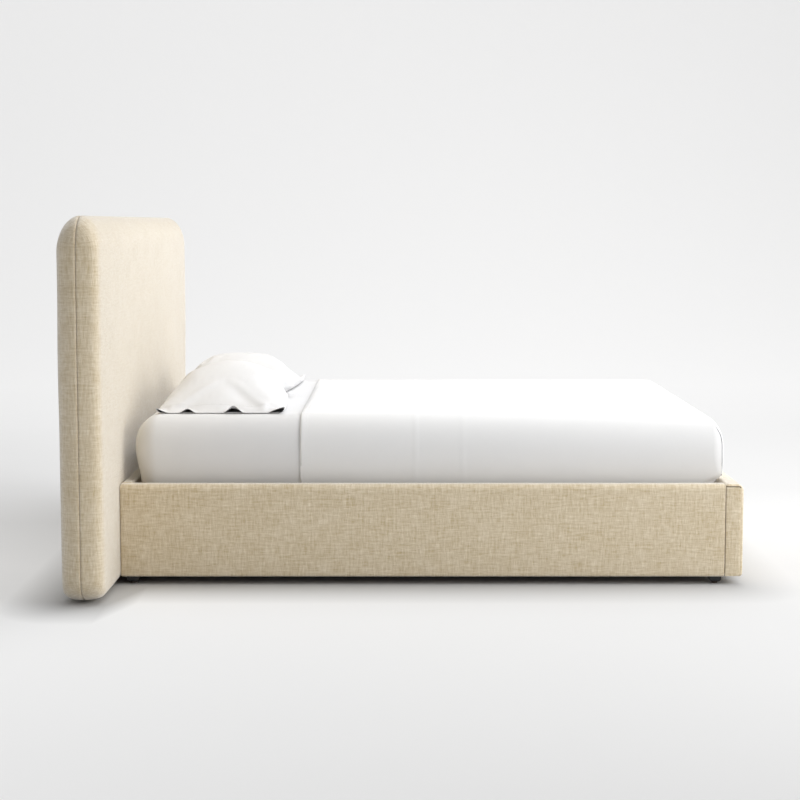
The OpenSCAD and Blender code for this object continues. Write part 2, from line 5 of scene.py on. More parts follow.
import bmesh
import bpy
import numpy as np
from bpy.props import FloatProperty, FloatVectorProperty, PointerProperty
from bpy.types import Operator, Panel, PropertyGroup
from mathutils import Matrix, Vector


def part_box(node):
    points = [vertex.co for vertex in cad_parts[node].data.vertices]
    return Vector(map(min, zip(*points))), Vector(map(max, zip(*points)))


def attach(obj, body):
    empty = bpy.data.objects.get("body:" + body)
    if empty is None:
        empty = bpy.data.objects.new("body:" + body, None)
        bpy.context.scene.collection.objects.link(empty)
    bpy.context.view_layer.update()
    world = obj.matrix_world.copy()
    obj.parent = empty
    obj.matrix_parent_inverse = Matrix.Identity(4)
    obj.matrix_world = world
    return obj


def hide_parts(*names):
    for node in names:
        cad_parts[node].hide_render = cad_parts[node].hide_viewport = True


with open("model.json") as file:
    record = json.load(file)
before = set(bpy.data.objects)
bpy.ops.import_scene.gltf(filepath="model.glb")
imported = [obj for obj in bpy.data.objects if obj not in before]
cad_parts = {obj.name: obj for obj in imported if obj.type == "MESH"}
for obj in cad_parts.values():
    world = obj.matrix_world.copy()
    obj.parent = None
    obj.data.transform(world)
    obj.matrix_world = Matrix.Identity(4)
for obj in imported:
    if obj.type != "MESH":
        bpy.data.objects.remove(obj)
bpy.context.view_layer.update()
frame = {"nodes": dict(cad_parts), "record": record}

bl_info = {
    "name": "Upholstered Platform Bed",
    "version": (1, 0, 0),
    "blender": (4, 5, 0),
    "location": "View3D > Sidebar > Bed",
    "description": "Builds the upholstery, linen and finishes of a platform bed round its frame",
    "category": "Object",
}

MM = 0.001


# Places taken from the frame
# ---------------------------

def low_of(node):
    """The low corner of a frame node's box."""
    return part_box(node)[0]


def high_of(node):
    """The high corner of a frame node's box."""
    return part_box(node)[1]


HEAD_LOW = low_of("headboard_rear_cover")
HEAD_HIGH = high_of("headboard_front_cover")
SEAM_X = (HEAD_LOW.x + HEAD_HIGH.x) / 2
HEAD_HALF_T = (HEAD_HIGH.x - HEAD_LOW.x) / 2
RAIL_LOW = low_of("side_rail_cover_right")
RAIL_HIGH = high_of("side_rail_cover_right")
FOOT_LOW = low_of("foot_rail_cover")
FOOT_HIGH = high_of("foot_rail_cover")
SHEET_HIGH = high_of("fitted_sheet")
COVERLET_LOW = low_of("coverlet")


# Sizes and colours that a user would change
# ------------------------------------------

def colour_setting(name, description, default):
    return FloatVectorProperty(
        name=name, description=description, default=default, subtype="COLOR", size=3, min=0.0, max=1.0)


def length_setting(name, description, default, low, high):
    return FloatProperty(
        name=name, description=description, default=default, min=low, max=high, unit="LENGTH", precision=4)


def angle_setting(name, description, degrees, highest):
    return FloatProperty(
        name=name, description=description, default=math.radians(degrees), min=0.0,
        max=math.radians(highest), subtype="ANGLE")


def factor_setting(name, description, default, high=1.0):
    return FloatProperty(
        name=name, description=description, default=default, min=0.0, max=high, subtype="FACTOR")


def power_setting(name, description, default):
    return FloatProperty(
        name=name, description=description, default=default, min=0.0, max=2000.0, unit="POWER")


class UpholsterySettings(PropertyGroup):
    """Sizes and colours of the headboard's and rails' fabric."""

    linen_colour: colour_setting("Linen", "Colour of the woven upholstery", (0.80, 0.71, 0.56))
    linen_dark: colour_setting("Dark thread", "Colour of the darker threads", (0.51, 0.395, 0.22))
    thread_pitch: length_setting(
        "Thread pitch", "Distance between neighbouring threads", 1.5 * MM, 0.5 * MM, 4 * MM)
    slub_strength: factor_setting("Slubs", "How strongly thick and thin threads show", 0.26)
    top_drop: length_setting(
        "Top rounding", "Height over which the headboard's top edge rounds off", 104 * MM, 60 * MM, 120 * MM)
    side_drop: length_setting(
        "Side rounding", "Width over which the headboard's sides round off", 72 * MM, 40 * MM, 90 * MM)
    side_power: FloatProperty(
        name="Side firmness", description="How squarely the front half turns at its sides; 2 is a plain round",
        default=3.6, min=2.0, max=6.0)
    low_drop: length_setting(
        "Bottom rounding", "Height over which the headboard's bottom rounds off", 44 * MM, 20 * MM, 100 * MM)
    corner: length_setting(
        "Corner radius", "Radius of the headboard's upper corners", 114 * MM, 100 * MM, 180 * MM)
    seam_depth: length_setting(
        "Seam depth", "Depth of the seam round the headboard's edge", 5 * MM, 1 * MM, 10 * MM)
    ripple: length_setting("Ripple", "Height of the slow waves in the stretched fabric", 0.8 * MM, 0.0, 3 * MM)


class LinenSettings(PropertyGroup):
    """Sizes and colours of the mattress, sheet, coverlet and pillows."""

    sheet_colour: colour_setting("Sheet", "Colour of the fitted sheet", (0.72, 0.72, 0.725))
    coverlet_colour: colour_setting("Coverlet", "Colour of the coverlet", (0.77, 0.77, 0.77))
    case_colour: colour_setting("Pillowcase", "Colour of the pillowcases", (0.71, 0.71, 0.715))
    edge_drop: length_setting(
        "Edge rounding", "How much of the mattress's top edge rounds off", 100 * MM, 40 * MM, 130 * MM)
    mattress_corner: length_setting(
        "Mattress corner", "Radius of the mattress's corners seen from above", 75 * MM, 60 * MM, 90 * MM)
    waist: length_setting(
        "Waist", "How far the mattress's side draws in between the rails", 14 * MM, 0.0, 30 * MM)
    cloth_thickness: length_setting(
        "Coverlet thickness", "Thickness of the coverlet's cloth", 2.6 * MM, 1 * MM, 8 * MM)
    coverlet_ripple: length_setting(
        "Coverlet ripple", "Height of the slow waves in the coverlet", 0.5 * MM, 0.0, 3 * MM)
    hem: length_setting(
        "Hem", "Width of the doubled hem at the coverlet's head end", 24 * MM, 10 * MM, 60 * MM)
    creases: FloatVectorProperty(
        name="Creases", description="Distances of the pressed creases from the coverlet's hem", size=2,
        default=(0.400, 0.565), min=0.1, max=1.4, unit="LENGTH")
    fold_length: length_setting(
        "Fold length", "Length of cloth that is doubled along the side at the foot corners",
        260 * MM, 60 * MM, 400 * MM)
    fold_turn: angle_setting("Fold turn", "How far the corner fold bends round towards the foot end", 34, 90)
    fold_bend: length_setting("Fold bend", "Radius of the corner fold's own bend", 38 * MM, 15 * MM, 75 * MM)
    groove_turn: angle_setting(
        "Groove turn", "Where round the corner the cloth is drawn in behind the fold", 63, 90)
    fold_lift: length_setting(
        "Fold lift", "How far the folded cloth's free edge stands out", 2.4 * MM, 0.0, 10 * MM)
    case_length: length_setting("Case length", "Length of an empty pillowcase", 0.72, 0.6, 0.9)
    case_width: length_setting("Case width", "Width of an empty pillowcase", 0.50, 0.4, 0.6)
    mouth_width: length_setting("Mouth width", "Width of the pillowcase's mouth as it lies", 0.461, 0.35, 0.5)
    mouth_y: length_setting(
        "Mouth place", "Distance of the pillowcase's mouth from the bed's middle", 0.682, 0.6, 0.75)
    crown: length_setting("Pillow height", "Height of a pillow's crown above the sheet", 0.150, 0.08, 0.2)
    free_margin: length_setting(
        "Free margin", "Width of the pillow's underside that can lift at its seams",
        84 * MM, 30 * MM, 120 * MM)
    end_round: length_setting(
        "End corners", "Radius of the flat case's corners at its closed end", 80 * MM, 0.0, 200 * MM)
    droop: factor_setting(
        "Droop", "Share of its weight that the pillowcase feels while it is filled", 1.0, 2.0)


class StudioSettings(PropertyGroup):
    """The camera and the lights."""

    lens: FloatProperty(
        name="Lens", description="Focal length on a 36 mm sensor", default=81.44,
        min=20.0, max=200.0, unit="CAMERA")
    pitch: angle_setting("Pitch", "How far the camera looks down", 5.557, 45)
    eye: FloatVectorProperty(
        name="Eye", description="Place of the camera", size=3, subtype="TRANSLATION",
        default=(-0.0362, -6.9872, 1.2411))
    sky: FloatProperty(
        name="Sky", description="Strength of the even light from all round", default=0.41,
        min=0.0, max=3.0)
    key: power_setting("Key light", "Power of the light from beyond the foot end", 98.0)
    front_fill: power_setting("Front fill", "Power of the light in front, towards the foot end", 29.0)
    end_fill: power_setting("End fill", "Power of the low light beyond the foot end", 60.0)
    overhead: power_setting("Overhead light", "Power of the light above the bed", 165.0)
    wall_glow: factor_setting("Wall glow", "Light given off by the backdrop behind the bed", 0.232)
    floor_glow: factor_setting("Floor glow", "Light given off by the floor away from the bed", 0.272)
    floor_tone: factor_setting("Floor tone", "How pale the floor is", 0.48)


SETTINGS = {"bed_upholstery": UpholsterySettings, "bed_linen": LinenSettings, "bed_studio": StudioSettings}


# Node-based finishes
# -------------------

class NodeMaker:
    """Adds nodes to self.tree."""

    def node(self, kind, settings=None, inputs=None):
        """Add a node: its settings first, then the values or links of its sockets."""
        node = self.tree.nodes.new(kind)
        for key, value in (settings or {}).items():
            setattr(node, key, value)
        for key, value in (inputs or {}).items():
            self.feed(node, key, value)
        return node

    def feed(self, node, key, value):
        """Link a socket to a node's first output or to another socket, or set its value."""
        if isinstance(value, bpy.types.Node):
            value = value.outputs[0]
        elif isinstance(value, Value):
            value = value.socket
        if isinstance(value, bpy.types.NodeSocket):
            self.tree.links.new(value, node.inputs[key])
        else:
            node.inputs[key].default_value = value


class Value:
    """A shader socket that can be used in Python arithmetic."""

    def __init__(self, finish, socket):
        self.finish, self.socket = finish, socket

    def math(self, operation, *operands, clamp=False):
        operands = (self, *operands)
        node = self.finish.node(
            "ShaderNodeMath", {"operation": operation, "use_clamp": clamp}, dict(enumerate(operands)))
        return self.finish.out(node)

    def __add__(self, other):
        return self.math("ADD", other)

    def __sub__(self, other):
        return self.math("SUBTRACT", other)

    def __mul__(self, other):
        return self.math("MULTIPLY", other)

    def __truediv__(self, other):
        return self.math("DIVIDE", other)

    def __rsub__(self, other):
        return (self * -1.0) + other


class Finish(NodeMaker):
    """A material with a Principled shader, and the nodes that drive it."""

    def __init__(self, name, **constants):
        self.material = bpy.data.materials.new(name)
        self.material.use_nodes = True
        self.tree = self.material.node_tree
        self.tree.nodes.clear()
        output = self.tree.nodes.new("ShaderNodeOutputMaterial")
        self.shader = self.tree.nodes.new("ShaderNodeBsdfPrincipled")
        self.tree.links.new(self.shader.outputs["BSDF"], output.inputs["Surface"])
        for socket, value in constants.items():
            self.feed(self.shader, socket.replace("_", " "), value)

    def out(self, node, output=0):
        return Value(self, node.outputs[output])

    def place(self, output="UV"):
        return self.out(self.node("ShaderNodeTexCoord"), output)

    def parts(self, vector):
        node = self.node("ShaderNodeSeparateXYZ", inputs={0: vector})
        return [self.out(node, i) for i in range(3)]

    def stretched(self, vector, scale):
        """The vector with each part multiplied by its own number."""
        return self.out(self.node(
            "ShaderNodeVectorMath", {"operation": "MULTIPLY"}, {0: vector, 1: scale}))

    def noise(self, vector, scale=1.0, detail=2.0, roughness=0.5):
        node = self.node("ShaderNodeTexNoise", None, {
            "Vector": vector, "Scale": scale, "Detail": detail, "Roughness": roughness})
        return self.out(node, "Fac")

    def mixed(self, factor, one, other, blend="MIX"):
        node = self.node("ShaderNodeMix", {"data_type": "RGBA", "blend_type": blend}, {
            0: factor, 6: one, 7: other})
        return self.out(node, 2)

    def shaded(self, colour, factor):
        """A colour made lighter or darker by a factor."""
        grey = self.node("ShaderNodeCombineColor", None, {0: factor, 1: factor, 2: factor})
        return self.mixed(1.0, (*colour, 1.0), self.out(grey), "MULTIPLY")

    def paint(self, colour, roughness, height=None, depth=0.5 * MM):
        """Link what varies over the surface to the shader; depth is the height of the bumps."""
        self.feed(self.shader, "Base Color", colour)
        self.feed(self.shader, "Roughness", roughness)
        if height is not None:
            bump = self.node("ShaderNodeBump", None, {"Strength": 1.0, "Distance": depth, "Height": height})
            self.feed(self.shader, "Normal", self.out(bump))
        return self.material


def woven_linen(settings):
    """Plain-weave linen whose thick and thin threads show as short streaks both ways."""
    finish = Finish("woven_linen", Sheen_Weight=1.0, Sheen_Roughness=0.5, Specular_IOR_Level=0.2)
    cloth = finish.place()
    across, along, _ = finish.parts(cloth)
    pitch = settings.thread_pitch
    warp = (across * (math.pi / pitch)).math("SINE")
    weft = (along * (math.pi / pitch)).math("SINE")
    weave = (warp.math("ABSOLUTE") + weft.math("ABSOLUTE")) * 0.35 + (warp * weft) * 0.3
    fine, coarse = (48.0, 500.0), (18.0, 150.0)
    streak_gain, mottle_gain = 2.9, 0.35
    streaks = 0.0
    for long_way, cross_way in (fine, coarse):
        for scale in ((long_way, cross_way, 1.0), (cross_way, long_way, 1.0)):
            streak = finish.noise(finish.stretched(cloth, scale), detail=1.0, roughness=0.4)
            streaks = streak - 0.5 + streaks
    mottle = finish.noise(cloth, scale=7.0, detail=3.0) - 0.5
    pale = streaks * settings.slub_strength * streak_gain + mottle * mottle_gain + 0.5
    pale = pale.math("MAXIMUM", 0.0, clamp=True)
    colour = finish.mixed(pale, (*settings.linen_dark, 1.0), (*settings.linen_colour, 1.0))
    height = weave * 0.4 + streaks * 1.2
    return finish.paint(colour, (weave * -0.08) + 0.95, height, depth=0.8 * MM)


def cotton(name, colour, weave=0.7 * MM, crumple=0.0):
    """Fine plain cotton, a little crumpled if asked."""
    finish = Finish(name, Sheen_Weight=0.06, Sheen_Roughness=0.5, Specular_IOR_Level=0.15)
    place = finish.place("Object")
    threads = finish.noise(place, scale=0.6 / weave, detail=2.0)
    soft = finish.noise(place, scale=11.0, detail=4.0, roughness=0.55)
    tone = (threads - 0.5) * 0.05 + (soft - 0.5) * 0.03 + 1.0
    height = threads * 0.05 + soft * crumple
    return finish.paint(
        finish.shaded(colour, tone), threads * 0.06 + 0.86, height, depth=2 * MM)


def timber(name, colour, grain, contrast):
    """Sawn timber with its grain along X, Y or Z, as the scale of the grain says."""
    finish = Finish(name, Specular_IOR_Level=0.3)
    place = finish.place("Object")
    rings = finish.noise(finish.stretched(place, grain), detail=6.0, roughness=0.65)
    pores = finish.noise(finish.stretched(place, tuple(8 * g for g in grain)), detail=2.0)
    tone = (rings - 0.5) * contrast * 2 + (pores - 0.5) * 0.25 + 1.0
    return finish.paint(
        finish.shaded(colour, tone), rings * 0.15 + 0.55, rings * 0.6 + pores * 0.4, depth=0.4 * MM)


def plain(name, colour, roughness, metallic=0.0, grain=900.0, depth=0.05 * MM):
    """Moulded plastic, plated steel, felt, foam, dark thread or a grey cord of painted shade, with a fine
    grain.
    """
    finish = Finish(name, Metallic=metallic, Specular_IOR_Level=0.45)
    place = finish.place("Object")
    speckle = finish.noise(place, scale=grain, detail=3.0)
    wear = finish.noise(place, scale=grain / 40, detail=4.0)
    tone = (speckle - 0.5) * 0.16 + (wear - 0.5) * 0.18 + 1.0
    return finish.paint(
        finish.shaded(colour, tone), (wear - 0.5) * 0.2 + roughness, speckle, depth=depth)


# Mesh work
# ---------

class Skin:
    """Collects the patches of one closed surface, each point with its place on the flat cloth."""

    def __init__(self):
        self.points, self.faces, self.cloth = [], [], []
        self.count = 0

    def patch(self, grid, cloth, wrap=False):
        """Add rows of points as quads; where the rows wrap round, cloth has one more column than grid."""
        grid, cloth = np.asarray(grid, float), np.asarray(cloth, float)
        rows, columns = grid.shape[:2]
        first = self.count
        self.points.append(grid.reshape(-1, 3))
        self.count += rows * columns
        spans = columns if wrap else columns - 1
        r, c = np.meshgrid(np.arange(rows - 1), np.arange(spans), indexing="ij")
        nearby = (c + 1) % columns
        quads = np.stack([r * columns + c, r * columns + nearby,
                          (r + 1) * columns + nearby, (r + 1) * columns + c], -1) + first
        places = np.stack([cloth[r, c], cloth[r, c + 1], cloth[r + 1, c + 1], cloth[r + 1, c]], -2)
        self.faces.extend(quads.reshape(-1, 4).tolist())
        self.cloth.append(places.reshape(-1, 2))

    def fan(self, ring, centre, ring_cloth, centre_cloth, flip=False):
        """Close a ring of point numbers with triangles that meet in a new point."""
        self.points.append(np.asarray([centre], float))
        hub = self.count
        self.count += 1
        order = -1 if flip else 1
        for i, number in enumerate(ring):
            j = (i + 1) % len(ring)
            self.faces.append([number, ring[j], hub][::order])
            self.cloth.append(np.asarray([ring_cloth[i], ring_cloth[j], centre_cloth][::order], float))

    def lid(self, ring, ring_cloth):
        """Close a ring of point numbers with one flat face."""
        self.faces.append(list(ring))
        self.cloth.append(np.asarray(ring_cloth, float))

    def piece(self, name, material, smooth_angle=None):
        """Make an object of the collected patches."""
        mesh = bpy.data.meshes.new(name)
        points = np.concatenate(self.points)
        mesh.from_pydata(points.tolist(), [], self.faces)
        layer = mesh.uv_layers.new(name="cloth")
        layer.data.foreach_set("uv", np.concatenate(self.cloth).astype(np.float32).ravel())
        return finished(name, mesh, material, smooth_angle)


def finished(name, mesh, material, smooth_angle=None):
    """Make an object of a mesh, with its faces outwards and its shading smooth."""
    shape = bmesh.new()
    shape.from_mesh(mesh)
    bmesh.ops.recalc_face_normals(shape, faces=shape.faces)
    shape.to_mesh(mesh)
    shape.free()
    mesh.materials.append(material)
    mesh.shade_smooth()
    if smooth_angle is not None:
        mesh.set_sharp_from_angle(angle=smooth_angle)
    piece = bpy.data.objects.new(name, mesh)
    bpy.context.scene.collection.objects.link(piece)
    return piece


def soft_ring(low, high, radii, counts):
    """Points anticlockwise round a rectangle with elliptical corners.

    radii holds one (across, up) pair for each corner, from the lower left on; counts holds the number of
    points on a level side, on an upright side and on a corner.
    """
    (a0, b0), (a1, b1) = low, high
    level, upright, bend = counts
    (r0, s0), (r1, s1), (r2, s2), (r3, s3) = radii
    sides = [
        ((a0 + r0, b0), (a1 - r1, b0), level), ((a1, b0 + s1), (a1, b1 - s2), upright),
        ((a1 - r2, b1), (a0 + r3, b1), level), ((a0, b1 - s3), (a0, b0 + s0), upright)]
    corners = [
        ((a1 - r1, b0 + s1), (r1, s1), -90), ((a1 - r2, b1 - s2), (r2, s2), 0),
        ((a0 + r3, b1 - s3), (r3, s3), 90), ((a0 + r0, b0 + s0), (r0, s0), 180)]
    ring = []
    for (start, end, n), (centre, (ra, rb), turn) in zip(sides, corners):
        t = np.arange(n)[:, None] / n
        ring.append(np.array(start) * (1 - t) + np.array(end) * t)
        angle = np.radians(turn + 90 * np.arange(bend) / bend)
        ring.append(np.stack([centre[0] + ra * np.cos(angle), centre[1] + rb * np.sin(angle)], -1))
    return np.concatenate(ring)


def closed(ring):
    """A ring of places with its first one repeated at the end."""
    return np.concatenate([ring, ring[:1]])


def at_level(flat, height):
    """Points on the floor plan, lifted to one height."""
    return np.column_stack([flat, np.full(len(flat), height)])


def shrunk(ring, middle, shares):
    """Copies of a ring, drawn in towards a middle by each share."""
    return [middle + (ring - middle) * share for share in shares]


def smooth_step(t):
    """A soft ramp that runs from 0 to 1 as t does."""
    t = np.clip(t, 0, 1)
    return t * t * (3 - 2 * t)


def ripple(points, wavelength, height, seed):
    """A smooth, seeded wave pattern in space, one number for each point."""
    chance = np.random.default_rng(seed)
    waves = 7
    total = np.zeros(len(points))
    for _ in range(waves):
        direction = chance.normal(size=3)
        direction /= np.linalg.norm(direction)
        number = 2 * math.pi / (wavelength * chance.uniform(0.7, 1.6))
        total += np.sin(points @ direction * number + chance.uniform(0, 2 * math.pi))
    return total * height / waves ** 0.5


def push(piece, amount):
    """Move each point of a piece along its normal."""
    mesh = piece.data
    n = len(mesh.vertices)
    places, normals = np.empty(n * 3, np.float32), np.empty(n * 3, np.float32)
    mesh.vertices.foreach_get("co", places)
    mesh.vertices.foreach_get("normal", normals)
    places, normals = places.reshape(-1, 3), normals.reshape(-1, 3)
    moved = places + normals * amount(places.astype(float))[:, None]
    mesh.vertices.foreach_set("co", moved.astype(np.float32).ravel())
    mesh.update()
    return piece


def arc_lengths(points):
    """The distance along a path at each of its points."""
    steps = np.linalg.norm(np.diff(points, axis=0), axis=1)
    return np.concatenate([[0.0], np.cumsum(steps)])


# Rows and cords that follow a path
# ---------------------------------

class PathTree(NodeMaker):
    """A geometry tree whose input is a path, with named inputs for its sizes."""

    def __init__(self, name, sizes):
        self.tree = bpy.data.node_groups.new(name, "GeometryNodeTree")
        face = self.tree.interface
        face.new_socket("Path", in_out="INPUT", socket_type="NodeSocketGeometry")
        self.names = {size: face.new_socket(size, in_out="INPUT", socket_type="NodeSocketFloat").identifier
                      for size in sizes}
        self.names["Material"] = face.new_socket(
            "Material", in_out="INPUT", socket_type="NodeSocketMaterial").identifier
        face.new_socket("Result", in_out="OUTPUT", socket_type="NodeSocketGeometry")
        self.inputs = self.tree.nodes.new("NodeGroupInput").outputs
        self.curve = self.node("GeometryNodeMeshToCurve", {}, {"Mesh": self.inputs["Path"]})

    def end(self, shape):
        """Make the shape real, coat it and put it out."""
        real = self.node("GeometryNodeRealizeInstances", {}, {"Geometry": shape})
        coated = self.node("GeometryNodeSetMaterial", {}, {
            "Geometry": real, "Material": self.inputs["Material"]})
        self.node("NodeGroupOutput", {}, {"Result": coated})
        return self


def stitch_tree():
    """Short rounded threads in a row along the path."""
    tree = PathTree("stitch_row", ("Spacing", "Length", "Width"))
    even = tree.node("GeometryNodeResampleCurve", {"mode": "LENGTH"}, {
        "Curve": tree.curve, "Length": tree.inputs["Spacing"]})
    bead = tree.node("GeometryNodeMeshIcoSphere", {}, {"Radius": 0.5, "Subdivisions": 1})
    size = tree.node("ShaderNodeCombineXYZ", {}, {
        0: tree.inputs["Length"], 1: tree.inputs["Width"], 2: tree.inputs["Width"]})
    tangent = tree.node("GeometryNodeInputTangent", {}, {})
    turn = tree.node("FunctionNodeAlignRotationToVector", {"axis": "X"}, {"Vector": tangent})
    row = tree.node("GeometryNodeInstanceOnPoints", {}, {
        "Points": even, "Instance": bead, "Rotation": turn, "Scale": size})
    return tree.end(row)


def cord_tree():
    """A round cord swept along the path."""
    tree = PathTree("swept_cord", ("Radius",))
    round_shape = tree.node("GeometryNodeCurvePrimitiveCircle", {}, {
        "Resolution": 8, "Radius": tree.inputs["Radius"]})
    swept = tree.node("GeometryNodeCurveToMesh", {}, {
        "Curve": tree.curve, "Profile Curve": round_shape, "Fill Caps": True})
    return tree.end(swept)


def follow(name, paths, tree, sizes, material):
    """Run a geometry tree along paths of points and keep the result as a plain mesh."""
    points, edges = [], []
    for path in paths:
        first = len(points)
        points.extend(np.asarray(path, float).tolist())
        edges.extend((i, i + 1) for i in range(first, len(points) - 1))
    line = bpy.data.meshes.new(name)
    line.from_pydata(points, edges, [])
    guide = bpy.data.objects.new(name + "_path", line)
    bpy.context.scene.collection.objects.link(guide)
    modifier = guide.modifiers.new("tree", "NODES")
    modifier.node_group = tree.tree
    for size, value in sizes.items():
        modifier[tree.names[size]] = value
    modifier[tree.names["Material"]] = material
    depsgraph = bpy.context.evaluated_depsgraph_get()
    mesh = bpy.data.meshes.new_from_object(guide.evaluated_get(depsgraph))
    bpy.data.objects.remove(guide)
    mesh.name = name
    mesh.materials.clear()
    return finished(name, mesh, material)


# Headboard
# ---------

HEAD_COUNTS = (150, 80, 16)     # points on a level side, on an upright side and on a corner
LOW_CORNER = 82 * MM            # radius of the headboard's lower corners
LOW_POWER = 2.8                 # how squarely the padding turns at the bottom edge
SEAM_STEP = 0.35 * MM           # half the gap between the two halves where they meet
SEAM_REACH = 2.2 * MM           # depth over which the seam's tuck fades


def headboard_half(name, side, settings, material):
    """One padded half of the headboard, from the seam at half thickness to its flat face.

    side is +1 for the front and -1 for the rear.
    """
    half_w, low_z, high_z = HEAD_HIGH.y, HEAD_LOW.z, HEAD_HIGH.z
    corner = settings.corner
    drops = settings.side_drop, settings.low_drop, settings.top_drop

    def ring(inset_y, inset_low, inset_top):
        low_r = (LOW_CORNER - inset_y, LOW_CORNER - inset_low)
        top_r = (corner - inset_y, corner - inset_top)
        return soft_ring((-half_w + inset_y, low_z + inset_low), (half_w - inset_y, high_z - inset_top),
                         [low_r, low_r, top_r, top_r], HEAD_COUNTS)

    def upright(flat, depth):
        return np.column_stack([np.full(len(flat), depth), flat])

    close_turns = np.radians([0.4, 1.2, 2.2, 3.5, 5, 7])
    turns = np.concatenate([close_turns, np.linspace(math.radians(10), math.pi / 2, 16)])
    depths, soft = HEAD_HALF_T * np.sin(turns), 1 - np.cos(turns)
    power = settings.side_power if side > 0 else 2.0
    firm, flat_foot = (
        1 - np.maximum(1 - np.sin(turns) ** n, 0) ** (1 / n) for n in (power, LOW_POWER))
    shares = firm, flat_foot, soft
    tuck = settings.seam_depth * np.exp(-depths / SEAM_REACH)
    lengths = [arc_lengths(np.stack([depths, share * drop], -1)) for share, drop in zip(shares, drops)]
    inner = settings.seam_depth * 2.5
    grids = [upright(ring(inner, inner, inner), SEAM_STEP)]
    cloths = [ring(*[drop - length[-1] - inner for drop, length in zip(drops, lengths)])]
    for i, depth in enumerate(depths):
        flat = ring(*[share[i] * drop + tuck[i] for share, drop in zip(shares, drops)])
        grids.append(upright(flat, max(depth, SEAM_STEP)))
        cloths.append(ring(*[drop - (length[-1] - length[i]) for drop, length in zip(drops, lengths)]))
    middle = np.array([0.0, (low_z + high_z) / 2])
    for flat in shrunk(grids[-1][:, 1:], middle, np.linspace(1, 0.02, 46)[1:]):
        grids.append(upright(flat, HEAD_HALF_T))
        cloths.append(flat)
    skin = Skin()
    grid = np.stack(grids)
    skin.patch(grid * (side, 1, 1) + (SEAM_X, 0, 0), np.stack([closed(c) for c in cloths]), wrap=True)
    n, last = grid.shape[1], (len(grids) - 1) * grid.shape[1]
    skin.lid(range(n), cloths[0])
    skin.fan(range(last, last + n), (SEAM_X + side * HEAD_HALF_T, *middle), cloths[-1], middle)
    waves = settings.ripple

    def swell(places):
        """Slow waves that only draw the fabric in, and fade out towards the seam."""
        away = np.abs(places[:, 0] - SEAM_X) / HEAD_HALF_T
        return (ripple(places, 0.42, waves, 11 + side) - waves) * np.clip(away * 2, 0, 1)

    return push(skin.piece(name, material), swell)


# Rails
# -----

def rail_section(width, height, radii, board, tuck):
    """Outline of a rail's padding and fabric in a C round its board.

    Depth runs inwards from the outer face. radii are the lower outer, upper outer and upper inner roundings;
    board is the board's outer face, inner face, bottom and top; tuck is how far the fabric comes down inside.
    Returns the outline's points, and the number of them that lie on the outside.
    """
    low_r, top_r, in_r = radii
    outer, inner, bottom, top = board

    def arc(centre, radius, start, end, n=9):
        angle = np.radians(np.linspace(start, end, n))
        return np.stack([centre[0] + radius * np.cos(angle), centre[1] + radius * np.sin(angle)], -1)

    def line(start, end, n):
        t = np.linspace(0, 1, n + 2)[1:-1, None]
        return np.array(start) * (1 - t) + np.array(end) * t

    outside = [
        [(inner, 0.0)], line((inner, 0.0), (low_r, 0.0), 3),
        arc((low_r, low_r), low_r, -90, -180),
        line((0.0, low_r), (0.0, height - top_r), 22),
        arc((top_r, height - top_r), top_r, 180, 90),
        line((top_r, height), (width - in_r, height), 3),
        arc((width - in_r, height - in_r), in_r, 90, 0),
        [(width, height - tuck)]]
    inside = [[(inner, height - tuck), (inner, top), (outer, top), (outer, bottom), (inner, bottom)]]
    shown = sum(len(part) for part in outside)
    return np.concatenate([np.asarray(part, float) for part in outside + inside]), shown


def outward(section):
    """The outward direction at each point of a section that runs clockwise."""
    before, after = np.roll(section, 1, axis=0), np.roll(section, -1, axis=0)

    def unit(steps):
        return steps / np.maximum(np.linalg.norm(steps, axis=1), 1e-9)[:, None]

    way = unit(unit(section - before) + unit(after - section))
    return np.stack([-way[:, 1], way[:, 0]], -1)


def rail_cover(name, section, shown, stations, place, material, end_r):
    """Run a rail's section along its length, with its outside rounded off at both ends."""
    way = outward(section)
    way[shown:] = 0
    arc = np.append(arc_lengths(section), 0)
    arc[-1] = arc[-2] + np.linalg.norm(section[0] - section[-1])
    first, last = stations[0], stations[-1]
    grid, cloth = [], []
    for s in stations:
        gap = min(s - first, last - s)
        inset = end_r - math.sqrt(max(end_r ** 2 - (end_r - min(gap, end_r)) ** 2, 0))
        grid.append(np.column_stack([section - way * inset, np.full(len(section), s)]))
        cloth.append(np.column_stack([np.full(len(arc), s), arc]))
    grid = np.stack(grid)
    skin = Skin()
    skin.patch(place(grid.reshape(-1, 3)).reshape(grid.shape), np.stack(cloth), wrap=True)
    n = grid.shape[1]
    skin.lid(range(n), section)
    skin.lid(range(skin.count - n, skin.count), section)
    return skin.piece(name, material, math.radians(50))


def stations_along(start, end, end_r, spacing=16 * MM):
    """Places along a rail, close together where its ends round off."""
    bends = end_r * (1 - np.cos(np.linspace(0, math.pi / 2, 6)))
    middle = np.linspace(start + end_r, end - end_r, int((end - start) / spacing))[1:-1]
    return np.concatenate([start + bends, middle, (end - bends)[::-1]])


